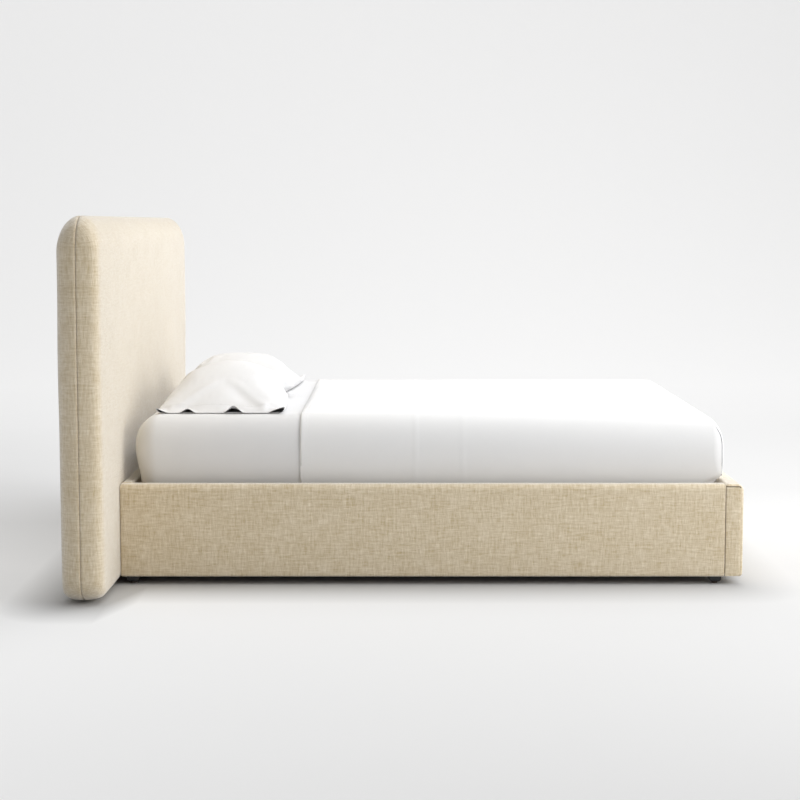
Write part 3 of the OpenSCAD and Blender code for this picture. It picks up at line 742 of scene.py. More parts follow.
def end_panel(name, sign, material):
    """The sewn-in panel that closes one end of the foot rail, and the path of the seam over its top."""
    low = (FOOT_LOW.x + 1.5 * MM, FOOT_LOW.z + 2 * MM)
    high = (FOOT_HIGH.x - 11 * MM, FOOT_HIGH.z - 9 * MM)
    sharp, soft, least = 2.5 * MM, 14 * MM, 0.5 * MM
    face = abs(FOOT_LOW.y)
    # Each ring of the pillowed edge: its inset from the outline, and its distance behind the face
    edge = ((2.2, 9.0), (0.8, 6.0), (0.2, 3.6), (0.0, 2.2), (0.25, 1.3), (0.9, 0.6), (2.2, 0.2), (4.0, 0.0),
            (9.0, -0.2), (16.0, -0.3))
    grid, cloth = [], []
    for inset, back in edge:
        inset, back = inset * MM, back * MM
        corners = [(max(r - inset, least),) * 2 for r in (sharp, soft, soft, sharp)]
        flat = soft_ring((low[0] + inset, low[1] + inset), (high[0] - inset, high[1] - inset),
                         corners, (8, 40, 6))
        grid.append(np.column_stack([flat[:, 0], np.full(len(flat), sign * (face - back)), flat[:, 1]]))
        cloth.append(closed(flat))
    grid = np.stack(grid)
    skin = Skin()
    skin.patch(grid, np.stack(cloth), wrap=True)
    n, last = grid.shape[1], (len(grid) - 1) * grid.shape[1]
    middle = np.array([(low[0] + high[0]) / 2, (low[1] + high[1]) / 2])
    skin.lid(range(n), cloth[0][:-1])
    skin.fan(range(last, last + n), (middle[0], grid[-1, 0, 1], middle[1]), cloth[-1][:-1], middle)
    hook, seam_top, seam_back = 5 * MM, high[1] + 0.8 * MM, 1.6 * MM
    path = [(x, seam_top) for x in np.linspace(low[0], high[0] - hook, 8)]
    for a in np.linspace(0, math.radians(80), 7)[1:]:
        path.append((high[0] - hook + hook * math.sin(a), seam_top - hook + hook * math.cos(a)))
    return skin.piece(name, material), [(x, sign * (face - seam_back), z) for x, z in path]


# Stage
# -----

class BED_OT_stage(Operator):
    """Build the floor, the backdrop, the lights and the camera"""

    bl_idname = "bed.stage"
    bl_label = "Stage"

    def execute(self, context):
        settings = context.scene.bed_studio
        scene = context.scene
        finish = Finish("studio_paper", Specular_IOR_Level=0.1)
        paper = finish.noise(finish.place("Object"), scale=3.0)
        material = finish.paint(
            finish.shaded((settings.floor_tone,) * 3, (paper - 0.5) * 0.01 + 1.0), paper * 0.02 + 0.9)
        self.light_up(finish, settings)
        sweep, wall_y, radius, wide, top = 14.0, 7.0, 3.0, 16.0, 9.0
        profile = [(-sweep, 0.0), (wall_y, top)]
        profile[1:1] = [(wall_y - radius + radius * math.sin(a), radius - radius * math.cos(a))
                        for a in np.radians(np.linspace(0, 90, 25))]
        grid = np.array([[(x, y, z) for x in np.linspace(-wide, wide, 9)] for y, z in profile])
        skin = Skin()
        skin.patch(grid, grid[..., :2])
        floor = skin.piece("studio_floor", material)

        camera = bpy.data.cameras.new("camera")
        camera.sensor_width, camera.lens = 36.0, settings.lens
        eye = bpy.data.objects.new("camera", camera)
        eye.location = settings.eye
        eye.rotation_euler = (math.pi / 2 - settings.pitch, 0, 0)
        scene.collection.objects.link(eye)
        scene.camera = eye

        world = bpy.data.worlds.new("studio")
        world.use_nodes = True
        world.node_tree.nodes["Background"].inputs[0].default_value = (1.0, 1.0, 1.0, 1.0)
        world.node_tree.nodes["Background"].inputs[1].default_value = settings.sky
        scene.world = world
        for name, place, aim, size, power in (
                ("key", (3.7, -1.9, 2.7), (-0.2, 0.0, 0.6), (2.6, 2.2), settings.key),
                ("front_fill", (2.9, -3.1, 1.3), (0.3, -0.8, 0.4), (2.0, 2.0), settings.front_fill),
                ("end_fill", (5.5, 0.3, 1.6), (1.0, 0.0, 0.5), (2.5, 2.0), settings.end_fill),
                ("overhead", (0.9, 1.0, 4.6), (0.2, 0.1, 0.3), (4.2, 4.2), settings.overhead)):
            light = bpy.data.lights.new(name, "AREA")
            light.shape, light.size, light.size_y = "RECTANGLE", *size
            light.energy = power
            lamp = bpy.data.objects.new(name, light)
            lamp.location = place
            lamp.rotation_euler = (Vector(aim) - Vector(place)).to_track_quat("-Z", "Y").to_euler()
            scene.collection.objects.link(lamp)
        scene.view_settings.view_transform = "Standard"
        return {"FINISHED"}

    def light_up(self, finish, settings):
        """Let the paper give off light: none below the bed, more away from it, and even on the backdrop."""
        rail_half, headboard_more, headboard_x, headboard_ramp = 0.86, 0.31, 0.90, 0.10
        bed_end, end_gain, side_gain, ramp = 1.12, 2.0, 1.6, 0.45
        tilt, tilt_length, tilt_front = 0.42, 1.2, 0.5
        wall_start, wall_ramp = 1.5, 3.5
        x, y, _ = finish.parts(finish.place("Object"))
        past_end = (x.math("ABSOLUTE") - bed_end).math("MAXIMUM", 0.0) * end_gain
        by_headboard = ((x * -1.0 - headboard_x) / headboard_ramp).math("MINIMUM", 1.0, clamp=True)
        past_side = y.math("ABSOLUTE") - by_headboard * headboard_more - rail_half
        past_side = past_side.math("MAXIMUM", 0.0) * side_gain
        away = (past_end * past_end + past_side * past_side).math("SQRT")
        floor_glow = (away / ramp).math("MINIMUM", 1.0, clamp=True) * settings.floor_glow
        # Painted light: in front of the bed the glow grows towards the head end, lightening the headboard's
        # cast shadow on the floor, and shrinks towards the foot end where the key light falls.
        endwise = (x / tilt_length).math("MAXIMUM", -1.0).math("MINIMUM", 1.0)
        in_front = (tilt_front - y).math("MINIMUM", 1.0, clamp=True)
        floor_glow = floor_glow * (1 - endwise * in_front * tilt)
        wall_glow = ((y - wall_start) / wall_ramp).math("MINIMUM", 1.0, clamp=True) * settings.wall_glow
        glow = (floor_glow + wall_glow).math("MINIMUM", 1.0, clamp=True)
        finish.feed(finish.shader, "Emission Color", finish.mixed(
            glow, (0.0, 0.0, 0.0, 1.0), (1.0, 1.0, 1.0, 1.0)))
        finish.feed(finish.shader, "Emission Strength", 1.0)


class BED_OT_headboard(Operator):
    """Build the headboard's two padded halves"""

    bl_idname = "bed.headboard"
    bl_label = "Headboard"

    def execute(self, context):
        settings = context.scene.bed_upholstery
        linen = material_of("linen")
        front = headboard_half("headboard_front_pad", 1, settings, linen)
        rear = headboard_half("headboard_rear_pad", -1, settings, linen)
        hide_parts("headboard_front_cover", "headboard_front_foam", "headboard_edge_foam")
        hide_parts("headboard_rear_cover", "headboard_rear_foam")
        for piece in (front, rear):
            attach(piece, "bedstead")
        return {"FINISHED"}


RAIL_TUCK = 60 * MM     # how far the rails' fabric comes down inside them
SIDES = (("right", -1), ("left", 1))


def section_of(cover, board, radii, axis="x"):
    """A rail's section, from the frame's cover and board; depth runs along Y, or against X."""
    (low, high), (board_low, board_high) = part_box(cover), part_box(board)
    if axis == "y":
        width, outer, inner = high.y - low.y, board_low.y - low.y, board_high.y - low.y
    else:
        width, outer, inner = high.x - low.x, high.x - board_high.x, high.x - board_low.x
    bounds = outer, inner, board_low.z - low.z, board_high.z - low.z
    return rail_section(width, RAIL_HIGH.z - RAIL_LOW.z, radii, bounds, RAIL_TUCK)


def across_bed(high_x, low_z):
    """Place the points of a rail that runs across the bed; depth runs from its face nearer the foot."""
    def place(points):
        depth, up, along = points.T
        return np.stack([high_x - depth, along, low_z + up], -1)

    return place


class BED_OT_rails(Operator):
    """Build the padded covers of the side rails, the foot rail and the head rail"""

    bl_idname = "bed.rails"
    bl_label = "Rails"

    def execute(self, context):
        linen = material_of("linen")
        made = []
        side_r, foot_r, head_r, panel_t = 5 * MM, 9 * MM, 2 * MM, 2.6 * MM

        section, shown = section_of(
            "side_rail_cover_right", "side_rail_board_right", (9 * MM, 20 * MM, 11 * MM), "y")
        stations = stations_along(RAIL_LOW.x, RAIL_HIGH.x, side_r)
        for side, sign in SIDES:
            def place(points, sign=sign):
                depth, up, along = points.T
                return np.stack([along, sign * (-RAIL_LOW.y - depth), RAIL_LOW.z + up], -1)
            piece = rail_cover(f"side_rail_upholstery_{side}", section, shown, stations, place, linen, side_r)
            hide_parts(f"side_rail_cover_{side}", f"side_rail_padding_{side}")
            made.append(piece)

        section, shown = section_of("foot_rail_cover", "foot_rail_board", (11 * MM, 24 * MM, 12 * MM))
        piece = rail_cover("foot_rail_upholstery", section, shown,
                           stations_along(FOOT_LOW.y + panel_t, FOOT_HIGH.y - panel_t, foot_r),
                           across_bed(FOOT_HIGH.x, FOOT_LOW.z), linen, foot_r)
        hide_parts("foot_rail_cover", "foot_rail_padding")
        made.append(piece)
        outlines = []
        for side, sign in SIDES:
            panel, outline = end_panel(f"foot_rail_end_panel_{side}", sign, linen)
            made.append(panel)
            outlines.append(outline)
        # A near-black cord along the end panels' top seams: the seam is real, and its dark colour is painted
        # shade of the seam's groove.
        seam = follow("foot_rail_end_seams", outlines, cord_tree(), {"Radius": 1.5 * MM},
                      material_of("seam"))
        inner_y = RAIL_HIGH.y + 0.4 * MM
        staple_z = RAIL_HIGH.z - RAIL_TUCK + 6 * MM
        ends = np.linspace(RAIL_LOW.x + 60 * MM, RAIL_HIGH.x - 60 * MM, 60)
        rows = [[(x, sign * inner_y, staple_z) for x in ends] for sign in (-1, 1)]
        staples = follow("cover_staples", rows, stitch_tree(),
                         {"Spacing": 38 * MM, "Length": 11 * MM, "Width": 1.2 * MM}, material_of("zinc_steel"))
        for piece, slot in ((seam, "linen"), (staples, "zinc_steel")):
            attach(piece, "bedstead")

        low, high = low_of("head_rail_cover"), high_of("head_rail_cover")
        section, shown = section_of("head_rail_cover", "head_rail_board", (3 * MM, 8 * MM, 8 * MM))
        piece = rail_cover("head_rail_upholstery", section, shown, stations_along(low.y, high.y, head_r),
                           across_bed(high.x, low.z), linen, head_r)
        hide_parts("head_rail_cover", "head_rail_padding")
        made.append(piece)
        for piece in made:
            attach(piece, "bedstead")
        return {"FINISHED"}


# Mattress and linen
# ------------------

class Slab:
    """A soft rounded slab seen as level rings, so that cloth can be laid on it at any distance.

    The profile lists an (inset, height) pair for each ring, from the bottom's edge to the top's.
    """

    tightest = 4 * MM               # smallest corner radius of a ring
    foot_swell = 11 * MM            # how far the foot end bulges over its rail
    low_swell = 14 * MM             # how much further it bulges just above the rail
    swell_start, swell_ramp = 54 * MM, 24 * MM          # where the bulge comes in, above the bottom
    upright_start, upright_ramp = 66 * MM, 110 * MM     # where the further bulge fades, above the bottom
    foot_r, bulge = 26 * MM, 7 * MM     # radius of the lower rounding, and how far the side stands out
    edge_in, edge_down = 0.92, 1.1  # shares of the edge rounding that go inwards and downwards

    def __init__(self, low, high, corner, edge, waist, spacing, corner_points):
        self.low, self.high, self.corner = Vector(low), Vector(high), corner
        self.counts = (int((high[0] - low[0]) / spacing), int((high[1] - low[1]) / spacing), corner_points)
        self.middle = np.array([(low[0] + high[0]) / 2, (low[1] + high[1]) / 2])
        self.profile = self.side(edge, waist)
        self.lengths = arc_lengths(self.profile)

    def side(self, edge, waist):
        """The side's shape: a small lower rounding, a waist held by the rails, a bulge and a soft top edge."""
        bottom, top, foot_r, bulge = self.low.z, self.high.z, self.foot_r, self.bulge
        edge_w, edge_h = edge * self.edge_in, edge * self.edge_down
        shape = []
        for a in np.radians(np.linspace(0, 90, 7)):
            shape.append((waist + foot_r * (1 - math.sin(a)), bottom + foot_r * (1 - math.cos(a))))
        for z in np.linspace(bottom + foot_r, top - edge_h, 13)[1:]:
            t = (z - bottom - foot_r) / (top - edge_h - bottom - foot_r)
            shape.append(((waist + bulge) * (0.5 + 0.5 * math.cos(t * math.pi)) - bulge, z))
        for a in np.radians(np.linspace(0, 90, 20))[1:]:
            shape.append((edge_w * (1 - math.cos(a)) - bulge, top - edge_h + edge_h * math.sin(a)))
        return np.array(shape)

    def swell(self, height):
        """How far the foot end bulges over its rail at a height."""
        up = height - self.low.z
        above_rail = smooth_step((up - self.swell_start) / self.swell_ramp)
        upright = 1 - smooth_step((up - self.upright_start) / self.upright_ramp)
        return above_rail * (self.foot_swell + self.low_swell * upright)

    def near_top(self, height):
        """A ramp from 0 to 1 over the last stretch below the slab's top."""
        return smooth_step((height - self.high.z + 30 * MM) / (24 * MM))

    def ring(self, inset, height=None):
        """A level ring at an inset; with a height, its foot end bulges as it does there."""
        more = 0.0 if height is None else self.swell(height)
        low = self.low.x + inset, self.low.y + inset
        high = self.high.x - inset + more, self.high.y - inset
        r = max(self.corner - inset, self.tightest)
        return soft_ring(low, high, [(r, r)] * 4, self.counts)

    def offset_profile(self, out):
        """The profile moved outwards by a distance, square to itself."""
        way = np.gradient(self.profile, axis=0)
        way /= np.linalg.norm(way, axis=1)[:, None]
        return self.profile + np.stack([-way[:, 1], way[:, 0]], -1) * out

    def rings(self, out=0.0, under=None):
        """Rings of points and of cloth places, from under the slab, up its side and over its top.

        under is how far the cloth reaches inwards below the slab; without it the bottom is closed.
        """
        profile = self.offset_profile(out)
        (low_inset, bottom), (high_inset, top) = profile[0], profile[-1]
        reach = np.linspace(1, 0.03, 24)
        points, cloths = [], []
        if under is None:
            for flat in shrunk(self.ring(low_inset), self.middle, reach[::-1][:-1]):
                points.append(at_level(flat, bottom))
                cloths.append(flat)
        else:
            for gap in np.linspace(under, 0, 5)[:-1]:
                points.append(at_level(self.ring(low_inset + gap), bottom))
                cloths.append(self.ring(high_inset - self.lengths[-1] - gap))
        for i, (inset, height) in enumerate(profile):
            points.append(at_level(self.ring(inset, height), height))
            cloths.append(self.ring(high_inset - (self.lengths[-1] - self.lengths[i])))
        for flat in shrunk(self.ring(high_inset, top), self.middle, reach[1:]):
            points.append(at_level(flat, top))
            cloths.append(flat)
        return np.stack(points), np.stack([closed(c) for c in cloths])

    def piece(self, name, material, out=0.0, under=None):
        """A closed surface at a distance outside the slab."""
        grid, cloth = self.rings(out, under)
        skin = Skin()
        skin.patch(grid, cloth, wrap=True)
        n, last = grid.shape[1], (len(grid) - 1) * grid.shape[1]
        if under is None:
            skin.fan(range(n), (*self.middle, grid[0, 0, 2]), cloth[0], self.middle, flip=True)
        skin.fan(range(last, last + n), (*self.middle, grid[-1, 0, 2]), cloth[-1], self.middle)
        return skin.piece(name, material)


def mattress_slab(settings, spacing, corner_points=14):
    """The slab of the mattress, with its rings' points about as far apart as the spacing."""
    return Slab(low_of("mattress_ticking"), high_of("mattress_ticking"), settings.mattress_corner,
                settings.edge_drop, settings.waist, spacing, corner_points)


def thicken(piece, thickness):
    """Give cloth its thickness, inwards from the surface."""
    solid = piece.modifiers.new("thickness", "SOLIDIFY")
    solid.thickness, solid.offset = thickness, -1.0
    solid.use_even_offset = False
    return piece


def cut_away(piece, point, way):
    """Remove the part of a piece that lies beyond a plane."""
    shape = bmesh.new()
    shape.from_mesh(piece.data)
    geometry = shape.verts[:] + shape.edges[:] + shape.faces[:]
    bmesh.ops.bisect_plane(shape, geom=geometry, plane_co=point, plane_no=way, clear_outer=True)
    shape.to_mesh(piece.data)
    shape.free()


class BED_OT_mattress(Operator):
    """Build the mattress"""

    bl_idname = "bed.mattress"
    bl_label = "Mattress"

    def execute(self, context):
        slab = mattress_slab(context.scene.bed_linen, 24 * MM)
        mattress = slab.piece("mattress_body", material_of("ticking"), out=-1 * MM)
        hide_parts("mattress_ticking", "mattress_base_foam", "mattress_spring_core",
                    "mattress_top_foam")
        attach(mattress, "mattress")
        return {"FINISHED"}


class BED_OT_sheet(Operator):
    """Build the fitted sheet, turned in under the mattress"""

    bl_idname = "bed.sheet"
    bl_label = "Fitted sheet"

    def execute(self, context):
        settings = context.scene.bed_linen
        under = 60 * MM
        sheet = mattress_slab(settings, 13 * MM).piece(
            "fitted_sheet_cloth", material_of("sheet_cotton"), out=1.0 * MM, under=under)
        push(sheet, lambda p: ripple(p, 0.30, 0.35 * MM, 5))
        thicken(sheet, 0.8 * MM)
        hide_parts("fitted_sheet")
        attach(sheet, "mattress")
        return {"FINISHED"}


class BED_OT_coverlet(Operator):
    """Build the tucked-in coverlet, with its corners folded at the foot"""

    bl_idname = "bed.coverlet"
    bl_label = "Coverlet"
    rise = 4.4 * MM                                     # height of the cloth above the mattress
    crease_height, crease_width = 1.3 * MM, 5 * MM
    hem_height, hem_ramp = 0.9 * MM, 4 * MM
    groove_depth, groove_width = 7.0 * MM, 3.2 * MM
    shade_cord_radius = 1.5 * MM
    fold_out, lift_reach = 1.2 * MM, 7 * MM
    start_sunk, top_sunk = 3.4 * MM, 3.6 * MM           # how deep the fold's ends sink into the cloth

    def execute(self, context):
        self.settings = settings = context.scene.bed_linen
        material = material_of("coverlet_cotton")
        self.slab = mattress_slab(settings, 9 * MM, 40)
        piece = self.slab.piece("coverlet_cloth", material, out=self.rise)
        cut_away(piece, (COVERLET_LOW.x, 0, 0), (-1, 0, 0))
        cut_away(piece, (0, 0, COVERLET_LOW.z), (0, 0, -1))
        push(piece, self.press_marks)
        thicken(piece, settings.cloth_thickness)
        # The grey cords along the corner folds are painted shade, standing in for the shadow line beside each
        # fold.
        folds_and_shade_cords = [make(*where) for where in SIDES for make in (self.fold, self.groove_shade_cord)]
        x = COVERLET_LOW.x + settings.hem - 3 * MM
        profile = self.slab.offset_profile(self.rise + 1.1 * MM)
        profile = profile[profile[:, 1] > COVERLET_LOW.z + 4 * MM]
        side = [(x, self.slab.low.y + inset, height) for inset, height in profile]
        stitches = follow("coverlet_hem_stitches", [side + [(a, -b, c) for a, b, c in side[::-1]]],
                          stitch_tree(), {"Spacing": 4.2 * MM, "Length": 3.2 * MM, "Width": 0.7 * MM},
                          material_of("thread"))
        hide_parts("coverlet")
        for cloth in (piece, stitches, *folds_and_shade_cords):
            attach(cloth, "mattress")
        return {"FINISHED"}

    def press_marks(self, places):
        """Slow waves, pressed creases, a doubled hem and the corner folds' grooves, as distances outwards."""
        x, y, z = places.T
        settings, slab = self.settings, self.slab
        out = ripple(places, 0.45, settings.coverlet_ripple, 8)
        for crease in settings.creases:
            out += self.crease_height * np.exp(-((x - COVERLET_LOW.x - crease) / self.crease_width) ** 2)
        out += self.hem_height * np.clip((settings.hem - (x - COVERLET_LOW.x)) / self.hem_ramp, 0, 1)
        centre_x = slab.high.x + slab.swell(z) - slab.corner
        across, along = np.abs(y) - (slab.high.y - slab.corner), x - centre_x
        around = np.arctan2(along, np.maximum(across, 1e-6))
        gap = (around - self.groove_angle(z)) * slab.corner
        depth = self.groove_depth * (1 - slab.near_top(z))
        at_corner = (along > 0) & (across > 0)
        out -= np.where(at_corner, depth * np.exp(-(gap / self.groove_width) ** 2), 0)
        return out

    def top_turn(self, height):
        """How much less the fold reaches round the corner as it nears the top."""
        return math.radians(14) * smooth_step((height - self.slab.high.z + 80 * MM) / (70 * MM))

    def fold_angle(self, height):
        """How far the folded cloth's own bend goes round at a height."""
        return self.settings.fold_turn - self.top_turn(height)

    def groove_angle(self, height):
        """Where round the mattress corner the cloth is drawn in behind the fold."""
        return self.settings.groove_turn - self.top_turn(height)

    def groove_shade_cord(self, side, sign):
        """A grey cord laid along the groove, painted shade for the dark line where the fold meets the cloth
        beneath it.
        """
        slab = self.slab
        path = []
        for inset, height in slab.offset_profile(self.rise):
            if RAIL_HIGH.z + 3 * MM < height < slab.high.z - 14 * MM:
                bend = slab.corner - inset
                turn = self.groove_angle(height)
                x = slab.high.x + slab.swell(height) - inset - bend
                y = slab.high.y - inset - bend
                reach = bend + 0.4 * MM
                path.append((x + reach * math.sin(turn), sign * (y + reach * math.cos(turn)), height))
        return follow(f"coverlet_fold_seam_{side}", [path], cord_tree(), {"Radius": self.shade_cord_radius},
                      material_of("shade_thread"))

    def fold(self, side, sign):
        """The side's cloth, brought round the corner and left with a free edge down the foot end."""
        slab, settings = self.slab, self.settings
        profile = slab.offset_profile(self.rise + 0.3 * MM)
        start = int(np.argmin(np.abs(profile[:, 1] - COVERLET_LOW.z)))
        levels = profile[start + 1:-3]
        r = settings.mattress_corner
        rows = []
        for inset, height in levels:
            turn = self.fold_angle(height)
            x_end, y_end = slab.high.x + slab.swell(height) - inset, slab.high.y - inset
            free = smooth_step((height - RAIL_HIGH.z) / (30 * MM))
            bend = max(r + (settings.fold_bend - r) * free - inset, slab.tightest)
            straight = np.linspace(x_end - r - settings.fold_length, x_end - bend, 26)
            row = [(x, y_end, 0.0, 1.0) for x in straight[:-1]]
            for a in np.linspace(0, turn, 26):
                row.append((x_end - bend + bend * math.sin(a), y_end - bend + bend * math.cos(a),
                            math.sin(a), math.cos(a)))
            row = np.array(row)
            along = arc_lengths(row[:, :2])
            top = slab.near_top(height)
            sunk = -self.start_sunk * (1 - smooth_step(along / settings.fold_length)) - self.top_sunk * top
            lift = settings.fold_lift * np.exp((along - along[-1]) / self.lift_reach) * (1 - top)
            flat = row[:, :2] + row[:, 2:] * (self.fold_out + sunk + lift)[:, None]
            rows.append(at_level(flat * (1, sign), height))
        grid = np.stack(rows)
        skin = Skin()
        skin.patch(grid, grid[..., [0, 2]])
        cloth = skin.piece(f"coverlet_fold_{side}", material_of("coverlet_cotton"))
        centre = Vector((*slab.middle, 0.45))
        if sum((f.center - centre).dot(f.normal) for f in cloth.data.polygons) < 0:
            cloth.data.flip_normals()
        return thicken(cloth, 1.8 * MM)


# Pillows
# -------

def hem_rise(s, arches):
    """Height of the upper hem above the sheet; s runs across the mouth from 0 to 1."""
    first_side, last_side = np.clip(1 - s / 0.10, 0, 1), np.clip((s - 0.86) / 0.14, 0, 1)
    height = 20 * MM * first_side + 25 * MM * last_side ** 0.8
    for centre, half, rise in arches:
        t = np.clip(np.abs(s - centre) / half, 0, 1)
        height = height + rise * np.cos(t * math.pi / 2) ** 2
    return height


def flat_bag(settings, arches, spacing):
    """The case laid flat before it is filled: grids of its upper and its lower cloth."""
    length, width, mouth, turn = (
        settings.case_length, settings.case_width, settings.mouth_width, settings.end_round)
    widening, hem_reach = 0.34, 0.06
    rows, columns = round(length / spacing) + 1, round(width / spacing) + 1
    v, s = np.meshgrid(np.linspace(0, 1, rows), np.linspace(0, 1, columns), indexing="ij")
    wide = mouth + (width - mouth) * smooth_step(v * length / widening)
    end_gap = np.minimum((1 - v) * length, turn)
    wide = wide - 2 * (turn - np.sqrt(turn ** 2 - (turn - end_gap) ** 2))
    x, y = (s - 0.5) * wide, v * length
    rise = 12 * MM * np.sin(np.pi * v) * np.sin(np.pi * s)
    near_hem = np.clip(1 - y / hem_reach, 0, 1)
    top = 1.5 * MM + rise + hem_rise(s, arches) * near_hem
    return np.stack([x, y, top], -1), np.stack([x, y, np.full_like(x, 1 * MM)], -1)


def bag_numbers(rows, columns, start=0):
    """Point numbers of the upper and lower cloth, which share their points at the seams.

    start is 0 for a case whose first row is an open mouth, and 1 for a bag that is sewn there too.
    """
    upper = np.arange(rows * columns).reshape(rows, columns)
    lower = upper.copy()
    inner = lower[start:-1, 1:-1]
    inner[:] = rows * columns + np.arange(inner.size).reshape(inner.shape)
    return upper, lower


def bag_mesh(name, points, upper, lower):
    """A mesh of the upper and lower cloth, from their points and their grids of point numbers."""
    quads = [np.stack([n[:-1, :-1], n[:-1, 1:], n[1:, 1:], n[1:, :-1]], -1).reshape(-1, 4)
             for n in (upper, lower)]
    mesh = bpy.data.meshes.new(name)
    mesh.from_pydata(points.tolist(), [], np.concatenate([quads[0], quads[1][:, ::-1]]).tolist())
    return mesh


def blow_up(settings, arches, pressure, spacing):
    """Fill the flat case by cloth simulation: its mouth and its underside stay on the sheet."""
    top, low = flat_bag(settings, arches, spacing)
    rows, columns = top.shape[:2]
    upper, lower = bag_numbers(rows, columns)
    points = np.concatenate([top.reshape(-1, 3), low[:-1, 1:-1].reshape(-1, 3)])
    bag = bpy.data.objects.new("flat_case", bag_mesh("flat_case", points, upper, lower))
    scene = bpy.context.scene
    scene.collection.objects.link(bag)
    held, blown = bag.vertex_groups.new(name="held"), bag.vertex_groups.new(name="blown")
    margin = settings.free_margin
    for i, (x, y, z) in enumerate(points):
        under = (i >= rows * columns and abs(x) < settings.case_width / 2 - margin
                 and y < settings.case_length - 0.75 * margin)
        if under or y < 1e-6:
            held.add([i], 1.0, "REPLACE")
        blown.add([i], float(np.clip((y - 0.055) / 0.03, 0, 1)), "REPLACE")
    cloth = bag.modifiers.new("cloth", "CLOTH")
    stuff = cloth.settings
    stuff.quality, stuff.mass, stuff.air_damping = 6, 0.005, 5.0
    stuff.tension_stiffness = stuff.compression_stiffness = 15
    stuff.shear_stiffness, stuff.bending_stiffness = 5, 0.5
    stuff.tension_damping = stuff.compression_damping = 10
    stuff.use_pressure, stuff.uniform_pressure_force = True, pressure
    stuff.vertex_group_pressure, stuff.vertex_group_mass = "blown", "held"
    stuff.effector_weights.gravity = settings.droop
    cloth.collision_settings.use_self_collision = False
    frames = 28
    cloth.point_cache.frame_end = frames + 1
    for number in range(1, frames + 1):
        scene.frame_set(number)
    blown_mesh = bpy.data.meshes.new_from_object(bag.evaluated_get(bpy.context.evaluated_depsgraph_get()))
    places = np.empty(len(points) * 3)
    blown_mesh.vertices.foreach_get("co", places)
    points = places.reshape(-1, 3)
    bpy.data.objects.remove(bag)
    scene.frame_set(1)
    return points, upper, lower


class BED_OT_pillows(Operator):
    """Fill and lay the two pillows in their cases"""

    bl_idname = "bed.pillows"
    bl_label = "Pillows"

    def execute(self, context):
        settings = context.scene.bed_linen
        sheet_top = SHEET_HIGH.z + 1.2 * MM
        variants = (
            ("right", -1, ((0.250, 0.065, 19 * MM), (0.600, 0.080, 29 * MM)), 4.8, settings.crown),
            ("left", 1, ((0.33, 0.08, 20 * MM), (0.72, 0.06, 13 * MM)), 4.7, settings.crown - 1 * MM))
        for side, sign, arches, pressure, crown in variants:
            points, upper, lower = blow_up(settings, arches, pressure, 14 * MM)
            self.shape(points, crown)
            middle = (low_of(f"pillow_{side}").x + high_of(f"pillow_{side}").x) / 2
            world = np.column_stack([
                middle + points[:, 0], sign * (settings.mouth_y - points[:, 1]), sheet_top + points[:, 2]])
            case = self.case(side, world, upper, lower)
            filling = self.filling(side, world, upper, lower)
            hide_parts(f"pillowcase_{side}")
            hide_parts(f"pillow_{side}")
            hem_row = world[upper[4]] + (0, 0, 0.7 * MM)
            stitches = follow(f"pillowcase_hem_stitches_{side}", [hem_row[1:-1]], stitch_tree(),
                              {"Spacing": 3.6 * MM, "Length": 2.8 * MM, "Width": 0.6 * MM},
                              material_of("thread"))
            for piece, slot in ((case, "case_cotton"), (filling, "pillow_fill"), (stitches, "case_cotton")):
                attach(piece, f"pillow_{side}")
        return {"FINISHED"}

    def shape(self, points, crown):
        """Round the filled case to its crown's height, then press a hollow and two ridges near its mouth."""
        x, y, z = points.T
        clear_of_mouth = smooth_step(y / 0.15)
        dome = 1 - 0.22 * (x / 0.22) ** 2 - 0.16 * (np.maximum(y - 0.30, 0) / 0.36) ** 2
        z *= 1 + (dome - 1) * clear_of_mouth
        z *= 1 + (crown / z.max() - 1) * clear_of_mouth
        dent_x, dent_y, dent_slope, dent_width, dent_length = 0.085, 0.11, -0.5, 0.055, 0.075
        dent = np.exp(-((x - dent_x - (y - dent_y) * dent_slope) / dent_width) ** 2
                      - ((y - dent_y) / dent_length) ** 2)
        ridge_x, ridge_slope, ridge_width = 0.185, 0.75, 0.022
        ridge = np.exp(-((np.abs(x) - ridge_x + y * ridge_slope) / ridge_width) ** 2)
        ridge *= smooth_step(y / 0.05) * (1 - smooth_step((y - 0.16) / 0.08))
        facets = (6 * MM * ridge - 16 * MM * dent) * (z > 20 * MM)
        z[:] = np.maximum(z + facets, 0.4 * MM)

    def case(self, side, world, upper, lower):
        """The case itself, with its mesh made finer and its cloth's thickness."""
        name = f"pillowcase_cloth_{side}"
        piece = finished(name, bag_mesh(name, world, upper, lower), material_of("case_cotton"))
        smooth = piece.modifiers.new("smooth", "SUBSURF")
        smooth.levels = smooth.render_levels = 1
        return thicken(piece, 0.9 * MM)

    def filling(self, side, world, upper, lower):
        """The stuffed bag inside the case, closed by a rounded end behind the mouth."""
        rows_in, rounded_rows, gap = 5, 3, 3.5 * MM
        top, low = world[upper[rows_in:]], world[lower[rows_in:]]
        middle = (top + low) / 2
        for i in range(rounded_rows):
            share = math.sqrt(1 - (1 - i / rounded_rows) ** 2)
            top[i] = middle[i] + (top[i] - middle[i]) * share
            low[i] = middle[i] + (low[i] - middle[i]) * share
        points = np.concatenate([top.reshape(-1, 3), low[1:-1, 1:-1].reshape(-1, 3)])
        name = f"pillow_filling_{side}"
        mesh = bag_mesh(name, points, *bag_numbers(*top.shape[:2], start=1))
        return push(finished(name, mesh, material_of("pillow_fill")), lambda p: np.full(len(p), -gap))


# Finishes of the frame
# ---------------------

FINISHES = {}
PINE = (0.62, 0.43, 0.24)
PLYWOOD = (0.52, 0.37, 0.22)


def material_of(slot):
    """The finish of a material slot, made once."""
    if slot not in FINISHES:
        FINISHES[slot] = make_finish(slot)
    return FINISHES[slot]


